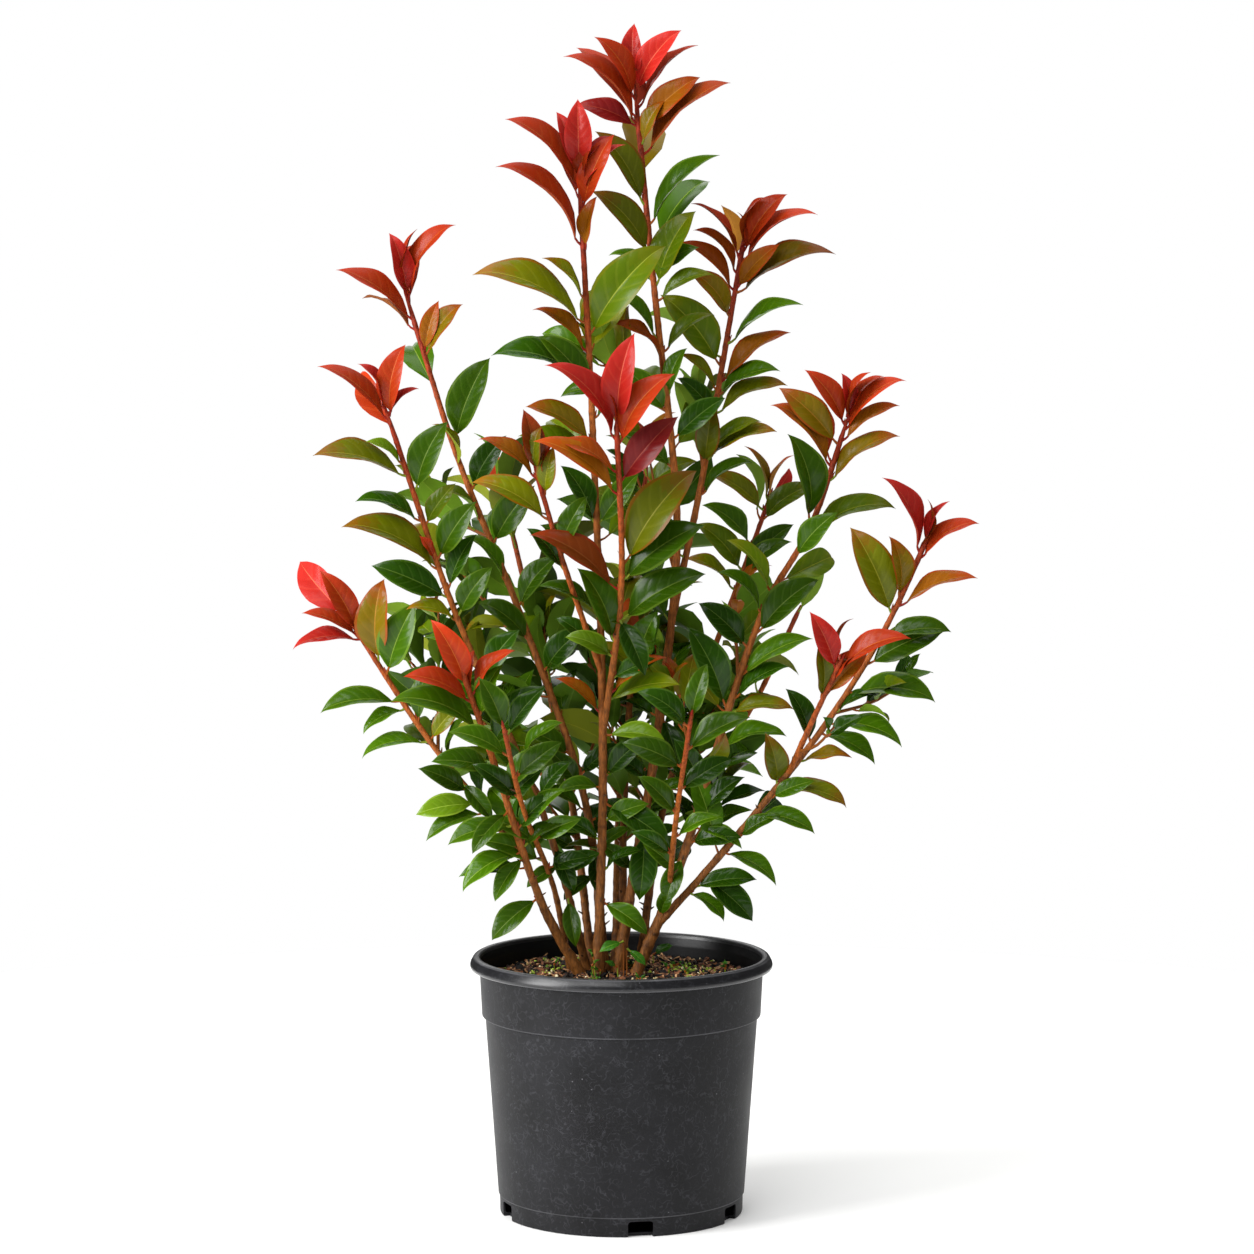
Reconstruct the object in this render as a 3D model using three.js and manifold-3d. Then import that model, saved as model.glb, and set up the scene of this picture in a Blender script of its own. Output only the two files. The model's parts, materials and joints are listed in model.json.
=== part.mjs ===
// A red-tipped photinia shrub with several stems, growing in a round nursery pot.
// Millimetres, +Z up, origin at the centre of the pot's flat underside.
// The viewer stands on the -Y side, with +X to the right.
import * as THREE from "three";
import { mergeVertices } from "three/addons/utils/BufferGeometryUtils.js";
import Module from "manifold-3d";

const wasm = await Module();
wasm.setup();

// --- driving dimensions -------------------------------------------------------------------
const POT_HEIGHT = 239;
const RIM_RADIUS = 140;
const MOUTH_RADIUS = 131;
const FOOT_RADIUS = 113;
const LEDGE_HEIGHT = 183; // the wall steps out above this height
const LEDGE_RADIUS = 129;
const LEDGE_STEP = 3;
const LEDGE_RISE = 1;
const RIM_HEIGHT = 11.5;
const RIM_FACE = 5; // the rim is upright to this height above its lower edge, then slopes in
const RIM_SLOPE = 3.5;
const UNDER_RIM_RADIUS = 131.2;
const RIM_ROUNDING = 3;
const WALL = 2.4;
const FLOOR = 3;
const SEAM_HEIGHT = 17; // a fine seam runs round the foot here
const SEAM_STEP = 1.2;
const FOOT_DRAFT = 0.4;
const SLOT_WIDTH = 23;
const SLOT_HEIGHT = 14.5;
const SLOT_DEPTH = 14;
const SLOT_ANGLES = [-69, 9, 63, 120, 177, 234]; // degrees round from the front
const POT_SIDES = 32;

const COMPOST_LEVEL = 222; // flat round the stems
const COMPOST_FALL = 4; // lower than that at the wall
const COMPOST_FLAT = 58; // radius of the flat part

const GAP = 0.4; // clearance between neighbouring solids
const LIMB_SIDES = 6;
const LIMB_STEPS = 5;
const FLARE = 0.42; // share by which a foot is wider than the stem above it
const FLARE_LENGTH = 24; // the flare fades upwards over about this length
const THINNING = 1.3; // above 1, a limb thins faster low down than near its end
const STEP_GROWTH = 1.25; // the steps are shorter near the foot, where the limb bends and flares

const CREST = 62; // the topmost leaves stand this far above a limb's last bud
const LEAF_REACH = 56; // how far leaves stand out from a limb
const WHORL_LEAVES = 5; // a mass swells out along this many leaves
const WHORL_DEPTH = 0.17;
const WHORL_LIFT = 14; // the leaf tips curve up this far above the hollows between them
const TIP_RINGS = 3;
const BODY_RINGS = 4;
const POLE_STEP = 0.8; // from a mass's end to its nearest ring, in steps between its rings

// Every limb runs from its foot in the compost, or from a share of the way up its parent,
// through its bends to its last bud at end. radii are the radius at the start and at the end.
// The limb is bare up to the share bare. The foliage above that is so many body masses of equal
// length, and a tip mass that starts tip below the last bud. reach scales the spread of the
// leaves: first the tip's, then the body's.
const LIMBS = [
  {
    name: "tallest", foot: [-4, -3], bends: [[39, 5, 485], [51, 8, 640], [31, 14, 845]], end: [12, 20, 1039],
    radii: [5, 2.5], bare: 0.26, body: 2, reach: [1.3, 0.95],
  },
  {
    name: "centre_front", foot: [-21, -9], bends: [[-17, -14, 450], [-27, -32, 750]], end: [-38, -45, 958],
    radii: [4.5, 2.5], bare: 0.52, body: 1, reach: [1.05, 1.2],
  },
  {
    name: "left_front", foot: [-38, -7], bends: [[-70, -19, 282], [-112, -62, 415]], end: [-146, -110, 526],
    radii: [4.4, 2.5], bare: 0.12, body: 1, reach: [1, 1.1],
  },
  {
    name: "upper_left", foot: [-31, 9], bends: [[-70, -6, 365], [-150, -32, 556]], end: [-211, -60, 742],
    radii: [3.5, 2.4], bare: 0.3, body: 1,
  },
  {
    name: "mid_left", foot: [-15, 11], bends: [[-34, 17, 381], [-92, 31, 548], [-154, 45, 703]],
    end: [-201, 60, 851], radii: [4, 2.4], bare: 0.3, body: 2,
  },
  {
    name: "right", foot: [13, -8], bends: [[48, -7, 305], [130, -19, 560], [173, -24, 638]],
    end: [205, -30, 734], radii: [4.6, 2.5], bare: 0.22, body: 2,
  },
  {
    name: "centre_back", foot: [1, 13], bends: [[3, 43, 381]], end: [24, 132, 700],
    radii: [3.9, 2.3], bare: 0.24, body: 1,
  },
  {
    name: "back_right", foot: [16, 9], bends: [[41, 45, 377]], end: [142, 132, 660],
    radii: [3.8, 2.3], bare: 0.2, body: 1,
  },
  {
    name: "back_left", foot: [-27, 25], bends: [[-48, 66, 380]], end: [-116, 172, 668],
    radii: [3.8, 2.3], bare: 0.2, body: 1,
  },
  { name: "back", foot: [-6, 29], bends: [[-2, 92, 370]], end: [18, 196, 560], radii: [3.5, 2.3], tip: 190 },
  {
    name: "thin_left", foot: [-47, 12], bends: [[-62, -2, 300], [-88, -60, 380]], end: [-104, -158, 470],
    radii: [2.8, 2.1], tip: 110,
  },
  {
    name: "far_left", parent: "left_front", at: 0.36, bends: [[-180, -12, 445]], end: [-259, -12, 567],
    radii: [3.2, 2.3], bare: 0.16, body: 1, reach: [0.85, 1],
  },
  {
    name: "front_shoot", parent: "centre_front", at: 0.3, bends: [[0, -64, 585]], end: [-4, -131, 734],
    radii: [3.2, 2.5], bare: 0.3, body: 1,
  },
  {
    name: "inner_left", parent: "centre_front", at: 0.38, bends: [[-50, -46, 598]], end: [-77, -82, 692],
    radii: [2.9, 2.2], tip: 100,
  },
  {
    name: "upper_right", parent: "tallest", at: 0.4, bends: [[76, 30, 686]], end: [115, 70, 906],
    radii: [3.4, 2.4], bare: 0.12, body: 1,
  },
  {
    name: "far_right", parent: "right", at: 0.09, bends: [[85, -14, 327], [180, -34, 448], [240, -53, 548]],
    end: [278, -70, 635], radii: [3.6, 2.4], bare: 0.12, body: 2, reach: [0.8, 1],
  },
  {
    name: "low_right", parent: "far_right", at: 0.42, bends: [[172, -58, 460]], end: [198, -92, 522],
    radii: [2.9, 2.2], tip: 70,
  },
  {
    name: "front_right", parent: "right", at: 0.14, bends: [[50, -64, 376]], end: [62, -150, 478],
    radii: [2.7, 2.1], tip: 120,
  },
  {
    name: "far_back_right", parent: "back_right", at: 0.36, bends: [[110, 90, 440]], end: [172, 146, 552],
    radii: [3, 2.2], tip: 130,
  },
  {
    name: "far_back_left", parent: "back_left", at: 0.36, bends: [[-112, 96, 420]], end: [-178, 136, 528],
    radii: [3, 2.2], tip: 130,
  },
];
const TIP_LENGTH = 58; // where a limb states no tip length of its own

// --- colours ------------------------------------------------------------------------------
const plain = (color, roughness) => new THREE.MeshStandardMaterial({ color, roughness, metalness: 0 });
const BLACK_PLASTIC = plain(0x2e2f32, 0.55);
const DARK_COMPOST = plain(0x3a2a1e, 0.95);
const BROWN_BARK = plain(0x8a5236, 0.75);
const GREEN_FOLIAGE = plain(0x3c6b2a, 0.4);
const RED_FOLIAGE = plain(0xb03a2e, 0.4);

// --- solids -------------------------------------------------------------------------------
function toSolid(geometry) {
  const bare = geometry.index ? geometry.toNonIndexed() : geometry.clone();
  for (const name of ["normal", "uv"]) bare.deleteAttribute(name);
  const merged = mergeVertices(bare, 1e-3);
  return new wasm.Manifold(
    new wasm.Mesh({
      numProp: 3,
      vertProperties: merged.attributes.position.array,
      triVerts: new Uint32Array(merged.index.array),
    }),
  );
}

function toGeometry(solid) {
  const mesh = solid.getMesh();
  const geometry = new THREE.BufferGeometry();
  geometry.setAttribute("position", new THREE.BufferAttribute(Float32Array.from(mesh.vertProperties), 3));
  geometry.setIndex(new THREE.BufferAttribute(Uint32Array.from(mesh.triVerts), 1));
  return geometry;
}

// The biggest body of a solid that cuts may have left in several.
function largest(solid) {
  return solid.decompose().reduce((a, b) => (b.volume() > a.volume() ? b : a));
}

// A closed skin over rings of points, each ring as long as the next, with a pole at each end.
function skin(bottom, rings, top) {
  const points = [bottom, ...rings.flat(), top];
  const sides = rings[0].length;
  const at = (ring, side) => 1 + ring * sides + (side % sides);
  const faces = [];
  for (let i = 0; i < sides; i++) {
    faces.push(0, at(0, i + 1), at(0, i));
    faces.push(points.length - 1, at(rings.length - 1, i), at(rings.length - 1, i + 1));
    for (let r = 0; r < rings.length - 1; r++) {
      faces.push(at(r, i), at(r, i + 1), at(r + 1, i));
      faces.push(at(r, i + 1), at(r + 1, i + 1), at(r + 1, i));
    }
  }
  const geometry = new THREE.BufferGeometry().setFromPoints(points);
  geometry.setIndex(faces);
  return geometry;
}

// --- the pot ------------------------------------------------------------------------------
const rimBottom = POT_HEIGHT - RIM_HEIGHT;
const ledgeTop = LEDGE_HEIGHT + LEDGE_RISE;
const underLedge = LEDGE_RADIUS - LEDGE_STEP;

function turned(outline) {
  const points = outline.map(([radius, height]) => new THREE.Vector2(radius, height));
  return toSolid(new THREE.LatheGeometry(points, POT_SIDES).rotateX(Math.PI / 2));
}

function potSolid() {
  let pot = turned([
    [0, 0],
    [FOOT_RADIUS, 0],
    [FOOT_RADIUS + FOOT_DRAFT, SEAM_HEIGHT],
    [FOOT_RADIUS + FOOT_DRAFT + SEAM_STEP, SEAM_HEIGHT],
    [underLedge, LEDGE_HEIGHT],
    [LEDGE_RADIUS, ledgeTop],
    [UNDER_RIM_RADIUS, rimBottom],
    [RIM_RADIUS - RIM_ROUNDING / 2, rimBottom],
    [RIM_RADIUS, rimBottom + RIM_ROUNDING],
    [RIM_RADIUS, rimBottom + RIM_FACE],
    [RIM_RADIUS - RIM_SLOPE, POT_HEIGHT],
    [MOUTH_RADIUS, POT_HEIGHT],
    [UNDER_RIM_RADIUS - WALL, rimBottom],
    [LEDGE_RADIUS - WALL, ledgeTop],
    [underLedge - WALL, LEDGE_HEIGHT - WALL],
    [FOOT_RADIUS - WALL, FLOOR],
    [0, FLOOR],
  ]);
  for (const degrees of SLOT_ANGLES) {
    const slot = new THREE.BoxGeometry(SLOT_WIDTH, 2 * SLOT_DEPTH, 2 * SLOT_HEIGHT);
    slot.translate(0, -FOOT_RADIUS, 0).rotateZ(THREE.MathUtils.degToRad(degrees));
    pot = pot.subtract(toSolid(slot));
  }
  return pot;
}

// The compost fills the pot, a gap in from the wall all round.
function compostSolid() {
  const edge = COMPOST_LEVEL - COMPOST_FALL;
  const edgeShare = (edge - ledgeTop) / (rimBottom - ledgeTop);
  const inset = WALL + GAP;
  return turned([
    [0, FLOOR + GAP],
    [FOOT_RADIUS - inset, FLOOR + GAP],
    [underLedge - inset, LEDGE_HEIGHT - WALL],
    [LEDGE_RADIUS - inset, ledgeTop + GAP],
    [THREE.MathUtils.lerp(LEDGE_RADIUS, UNDER_RIM_RADIUS, edgeShare) - inset, edge],
    [COMPOST_FLAT, COMPOST_LEVEL],
    [0, COMPOST_LEVEL],
  ]);
}

// --- the limbs ----------------------------------------------------------------------------
const vector = (numbers) => new THREE.Vector3(...numbers);
const limbNamed = new Map(LIMBS.map((limb) => [limb.name, limb]));

function curveOf(limb) {
  if (!limb.curve) {
    const start = limb.parent
      ? curveOf(limbNamed.get(limb.parent)).getPointAt(limb.at)
      : vector([...limb.foot, COMPOST_LEVEL + GAP]);
    limb.curve = new THREE.CatmullRomCurve3([start, ...limb.bends.map(vector), vector(limb.end)]);
  }
  return limb.curve;
}

// The share of the way along its curve at which a limb enters its tip mass.
const tipStart = (limb) => 1 - (limb.tip ?? TIP_LENGTH) / curveOf(limb).getLength();

function radiusAt(limb, share) {
  const [low, high] = limb.radii;
  const along = share * curveOf(limb).getLength();
  const flare = limb.parent ? 0 : FLARE * Math.exp(-along / FLARE_LENGTH);
  return (high + (low - high) * Math.pow(1 - share, THINNING)) * (1 + flare);
}

// A ring of points round a curve, at the radius given for each turn and side.
function ringAt(curve, share, sides, start, radiusOf) {
  const centre = curve.getPointAt(share);
  const along = curve.getTangentAt(share);
  const across = new THREE.Vector3(0, -1, 0).cross(along).normalize();
  const back = along.clone().cross(across);
  return Array.from({ length: sides }, (_, side) => {
    const turn = start + (2 * Math.PI * side) / sides;
    const radius = radiusOf(turn, side);
    return centre
      .clone()
      .addScaledVector(across, radius * Math.cos(turn))
      .addScaledVector(back, radius * Math.sin(turn));
  });
}

function limbSolid(limb, grow = 0) {
  const curve = curveOf(limb);
  const last = tipStart(limb) + (grow - GAP) / curve.getLength();
  const rings = Array.from({ length: LIMB_STEPS + 1 }, (_, i) => {
    const share = last * Math.pow(i / LIMB_STEPS, STEP_GROWTH);
    return ringAt(curve, share, LIMB_SIDES, 0, () => radiusAt(limb, share) + grow);
  });
  if (!limb.parent) {
    rings[0].forEach((point) => point.setZ(COMPOST_LEVEL + GAP)); // a flat cut at the compost
  }
  return toSolid(skin(curve.getPointAt(0), rings, curve.getPointAt(last)));
}

// --- the foliage --------------------------------------------------------------------------
// Foliage is widest above its middle, where the tips of its leaves are.
const fullness = (share) => Math.sin(Math.PI * Math.pow(share, 1.3));

// Round the limb, and along it, the skin swells and sinks in waves that seed sets.
const unevenness = (turn, share, seed) =>
  1 + 0.13 * Math.sin(turn + 2.1 * seed + 4 * share) + 0.08 * Math.sin(2 * turn - 1.7 * seed);

// A limb's own curve, carried straight on past its last bud.
function pathOf(limb) {
  const curve = curveOf(limb);
  const length = curve.getLength();
  const beyond = (share) => curve.getPointAt(1).addScaledVector(curve.getTangentAt(1), (share - 1) * length);
  return {
    length,
    getPointAt: (share) => (share <= 1 ? curve.getPointAt(share) : beyond(share)),
    getTangentAt: (share) => curve.getTangentAt(Math.min(share, 1)),
  };
}

function massSolid(mass, grow = 0) {
  const path = pathOf(mass.limb);
  const low = mass.from - grow / path.length;
  const high = mass.to + grow / path.length;
  const sides = 2 * WHORL_LEAVES;
  const rings = Array.from({ length: mass.rings }, (_, i) => {
    const s = (i + POLE_STEP) / (mass.rings - 1 + 2 * POLE_STEP);
    const share = THREE.MathUtils.lerp(low, high, s);
    const ring = ringAt(path, share, sides, mass.seed, (turn, side) => {
      const leaf = 1 + WHORL_DEPTH * (side % 2 ? 1 : -1);
      return mass.reach * fullness(s) * leaf * unevenness(turn, s, mass.seed) + grow;
    });
    const lift = path.getTangentAt(share).multiplyScalar(WHORL_LIFT * s);
    return ring.map((point, side) => (side % 2 ? point.add(lift) : point));
  });
  return toSolid(skin(path.getPointAt(low), rings, path.getPointAt(high)));
}

const reachOf = (limb, part) => LEAF_REACH * (limb.reach ? limb.reach[part] : 1);

function tipMass(limb, index) {
  const length = curveOf(limb).getLength();
  return {
    name: "tip_" + limb.name,
    limb,
    from: tipStart(limb) + GAP / length,
    to: 1 + CREST / length,
    reach: reachOf(limb, 0),
    rings: TIP_RINGS,
    seed: index,
    material: RED_FOLIAGE,
  };
}

// A limb's body masses share its length between the bare part and the tip, top one first.
function bodyMasses(limb, index) {
  const count = limb.body ?? 0;
  const step = (tipStart(limb) - limb.bare) / count;
  return Array.from({ length: count }, (_, i) => ({
    name: "foliage_" + limb.name + (count > 1 ? "_" + (count - i) : ""),
    limb,
    from: limb.bare + (count - i - 1) * step,
    to: limb.bare + (count - i) * step,
    reach: reachOf(limb, 1),
    rings: BODY_RINGS,
    seed: index + 3.3 * (count - i),
    material: GREEN_FOLIAGE,
  }));
}

// --- the shrub ----------------------------------------------------------------------------
const shrub = new THREE.Group();

function place(name, solid, material) {
  const mesh = new THREE.Mesh(toGeometry(solid), material);
  mesh.name = name;
  shrub.add(mesh);
}

const cutBy = (solid, cutters) => cutters.reduce((left, cutter) => left.subtract(cutter), solid);

place("pot", potSolid(), BLACK_PLASTIC);
place("compost", compostSolid(), DARK_COMPOST);

// A limb stops short of every limb before it, so a bough starts at its parent's bark.
const limbCutters = [];
for (const limb of LIMBS) {
  const name = (limb.parent ? "bough_" : "stem_") + limb.name;
  place(name, largest(cutBy(limbSolid(limb), limbCutters)), BROWN_BARK);
  limbCutters.push(limbSolid(limb, GAP));
}

// The tip masses come first and keep their whole shape. The body masses fit round them, round
// the limbs and round each other.
const massCutters = [];
for (const mass of [...LIMBS.map(tipMass), ...LIMBS.flatMap(bodyMasses)]) {
  place(mass.name, largest(cutBy(massSolid(mass), [...limbCutters, ...massCutters])), mass.material);
  massCutters.push(massSolid(mass, GAP));
}

export default shrub;
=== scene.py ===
"""A photinia shrub with red young leaves, growing in its black nursery pot.

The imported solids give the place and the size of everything. Each stem and bough is grown again here with
its bark, each mass of foliage is replaced by twigs and leaves that a seeded rule grows from the limbs, and
the pot and its compost are modelled finely. All lengths in the tables are in millimetres, as in the solids'
source, and MM turns them into metres.
"""

import json
import math

import bpy
import numpy as np
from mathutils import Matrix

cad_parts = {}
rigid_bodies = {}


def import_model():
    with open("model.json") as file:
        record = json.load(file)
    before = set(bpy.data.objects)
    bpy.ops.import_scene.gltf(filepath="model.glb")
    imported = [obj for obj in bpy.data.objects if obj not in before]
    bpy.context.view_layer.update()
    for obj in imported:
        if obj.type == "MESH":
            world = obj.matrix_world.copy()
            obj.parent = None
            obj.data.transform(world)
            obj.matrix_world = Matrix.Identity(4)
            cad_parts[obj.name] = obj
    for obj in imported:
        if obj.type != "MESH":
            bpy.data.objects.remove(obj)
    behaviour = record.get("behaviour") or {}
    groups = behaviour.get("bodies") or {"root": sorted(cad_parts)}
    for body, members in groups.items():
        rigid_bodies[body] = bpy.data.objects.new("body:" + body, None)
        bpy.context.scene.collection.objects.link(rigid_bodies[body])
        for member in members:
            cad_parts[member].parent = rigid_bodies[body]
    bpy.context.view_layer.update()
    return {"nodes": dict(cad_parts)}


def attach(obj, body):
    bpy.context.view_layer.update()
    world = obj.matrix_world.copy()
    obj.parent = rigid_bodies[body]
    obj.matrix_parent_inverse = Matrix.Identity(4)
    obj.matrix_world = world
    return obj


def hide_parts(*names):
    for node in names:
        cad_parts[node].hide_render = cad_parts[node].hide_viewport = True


bl_info = {
    "name": "Potted photinia shrub",
    "version": (1, 0, 0),
    "blender": (4, 5, 0),
    "location": "3D View > Sidebar > Shrub",
    "description": "Builds a red-tipped photinia in its nursery pot, piece by piece",
    "category": "Add Mesh",
}

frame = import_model()

MM = 0.001
BODY = "root"
CAMERA_PLACE = (0.0052, -3.5, 0.828)
CAMERA_DOWN_DEG = 4.65
CAMERA_LENS = 109.64
CAMERA_SENSOR = 36
UP = np.array([0.0, 0.0, 1.0])
TO_VIEWER = np.array([0.0, -1.0, 0.25])
GOLDEN_ANGLE = math.radians(137.5)
TURN = 2 * math.pi
PER_METRE = 1000
SHARP_DEG = 60

# The pot, as in the solids' source.
POT_HEIGHT = 239
RIM_RADIUS = 140
MOUTH_RADIUS = 131
FOOT_RADIUS = 113
LEDGE_HEIGHT = 183
LEDGE_RADIUS = 129
LEDGE_STEP = 3
LEDGE_RISE = 1
RIM_HEIGHT = 11.5
RIM_FACE = 5
RIM_SLOPE = 3.5
UNDER_RIM_RADIUS = 131.2
WALL = 2.4
FLOOR = 3
SEAM_HEIGHT = 17
SEAM_STEP = 1.2
FOOT_DRAFT = 0.4
SLOT_WIDTH = 23
SLOT_HEIGHT = 14.5
SLOT_DEPTH = 14
SLOT_CORNER = 2.5
SLOT_FOOT = -5
SLOT_ANGLES = (-69, 9, 63, 120, 177, 234)
COMPOST_LEVEL = 222

# How much wider a stem is at its foot and how soon that ends, how its thinning runs, and where and how much a
# limb's end tapers.
STEM_FLARE = 0.42
FLARE_LENGTH = 24
THINNING = 1.3
END_TAPER = 0.4
END_START = 0.95
# Each limb's route, as in the solids' source: a smooth curve from its foot, or from a share of its parent's
# length, through its bends to its end. "radii" are at its foot and its end, "red" is about how far red
# leaves reach down from its end, "bare" is the share of it under the foliage, and "reach" is how far its
# leaves stand out, as a share of the crown's envelope: 1 where nothing is said.
LIMBS = {
    "tallest": dict(foot=(-4, -3), bends=[(39, 5, 485), (51, 8, 640), (31, 14, 845)], end=(12, 20, 1039),
                    radii=(5, 2.5), red=64, bare=0.26, reach=1.15),
    "centre_front": dict(foot=(-21, -9), bends=[(-17, -14, 450), (-27, -32, 750)], end=(-38, -45, 958),
                         radii=(4.5, 2.5), red=66, bare=0.52, reach=1.1),
    "left_front": dict(foot=(-38, -7), bends=[(-70, -19, 282), (-112, -62, 415)], end=(-146, -110, 526),
                       radii=(4.4, 2.5), red=46, bare=0.12, reach=1.05),
    "upper_left": dict(foot=(-31, 9), bends=[(-70, -6, 365), (-150, -32, 556)], end=(-211, -60, 742),
                       radii=(3.5, 2.4), red=48, bare=0.3),
    "mid_left": dict(foot=(-15, 11), bends=[(-34, 17, 381), (-92, 31, 548), (-154, 45, 703)],
                     end=(-201, 60, 851), radii=(4, 2.4), red=56, bare=0.3),
    "right": dict(foot=(13, -8), bends=[(48, -7, 305), (130, -19, 560), (173, -24, 638)],
                  end=(205, -30, 734), radii=(4.6, 2.5), red=50, bare=0.22, reach=0.9),
    "centre_back": dict(foot=(1, 13), bends=[(3, 43, 381)], end=(24, 132, 700), radii=(3.9, 2.3), red=22,
                        bare=0.16),
    "back_right": dict(foot=(16, 9), bends=[(41, 45, 377)], end=(142, 132, 660), radii=(3.8, 2.3), red=18,
                       bare=0.2, reach=0.7),
    "back_left": dict(foot=(-27, 25), bends=[(-48, 66, 380)], end=(-116, 172, 668), radii=(3.8, 2.3),
                      red=40, bare=0.13),
    "back": dict(foot=(-6, 29), bends=[(-2, 92, 370)], end=(18, 196, 560), radii=(3.5, 2.3), red=24,
                 bare=0.3),
    "thin_left": dict(foot=(-47, 12), bends=[(-62, -2, 300), (-88, -60, 380)], end=(-104, -158, 470),
                      radii=(2.8, 2.1), red=9, bare=0.4),
    "far_left": dict(parent="left_front", at=0.36, bends=[(-180, -12, 445)], end=(-259, -12, 567),
                     radii=(3.2, 2.3), red=44, bare=0.16, reach=0.9),
    "front_shoot": dict(parent="centre_front", at=0.3, bends=[(0, -64, 585)], end=(-4, -131, 734),
                        radii=(3.2, 2.5), red=70, bare=0.3),
    "inner_left": dict(parent="centre_front", at=0.38, bends=[(-50, -46, 598)], end=(-77, -82, 692),
                       radii=(2.9, 2.2), red=26, bare=0.3),
    "upper_right": dict(parent="tallest", at=0.4, bends=[(76, 30, 686)], end=(115, 70, 906),
                        radii=(3.4, 2.4), red=56, bare=0.12),
    "far_right": dict(parent="right", at=0.09, bends=[(85, -14, 327), (180, -34, 448), (240, -53, 548)],
                      end=(278, -70, 635), radii=(3.6, 2.4), red=50, bare=0.12, reach=0.82),
    "low_right": dict(parent="far_right", at=0.42, bends=[(172, -58, 460)], end=(198, -92, 522),
                      radii=(2.9, 2.2), red=34, bare=0.2),
    "front_right": dict(parent="right", at=0.14, bends=[(50, -64, 376)], end=(62, -150, 478),
                        radii=(2.7, 2.1), red=9, bare=0.25),
    "far_back_right": dict(parent="back_right", at=0.36, bends=[(110, 90, 440)], end=(172, 146, 552),
                           radii=(3, 2.2), red=16, bare=0.25, reach=0.72),
    "far_back_left": dict(parent="back_left", at=0.36, bends=[(-112, 96, 420)], end=(-178, 136, 528),
                          radii=(3, 2.2), red=36, bare=0.25),
}

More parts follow.
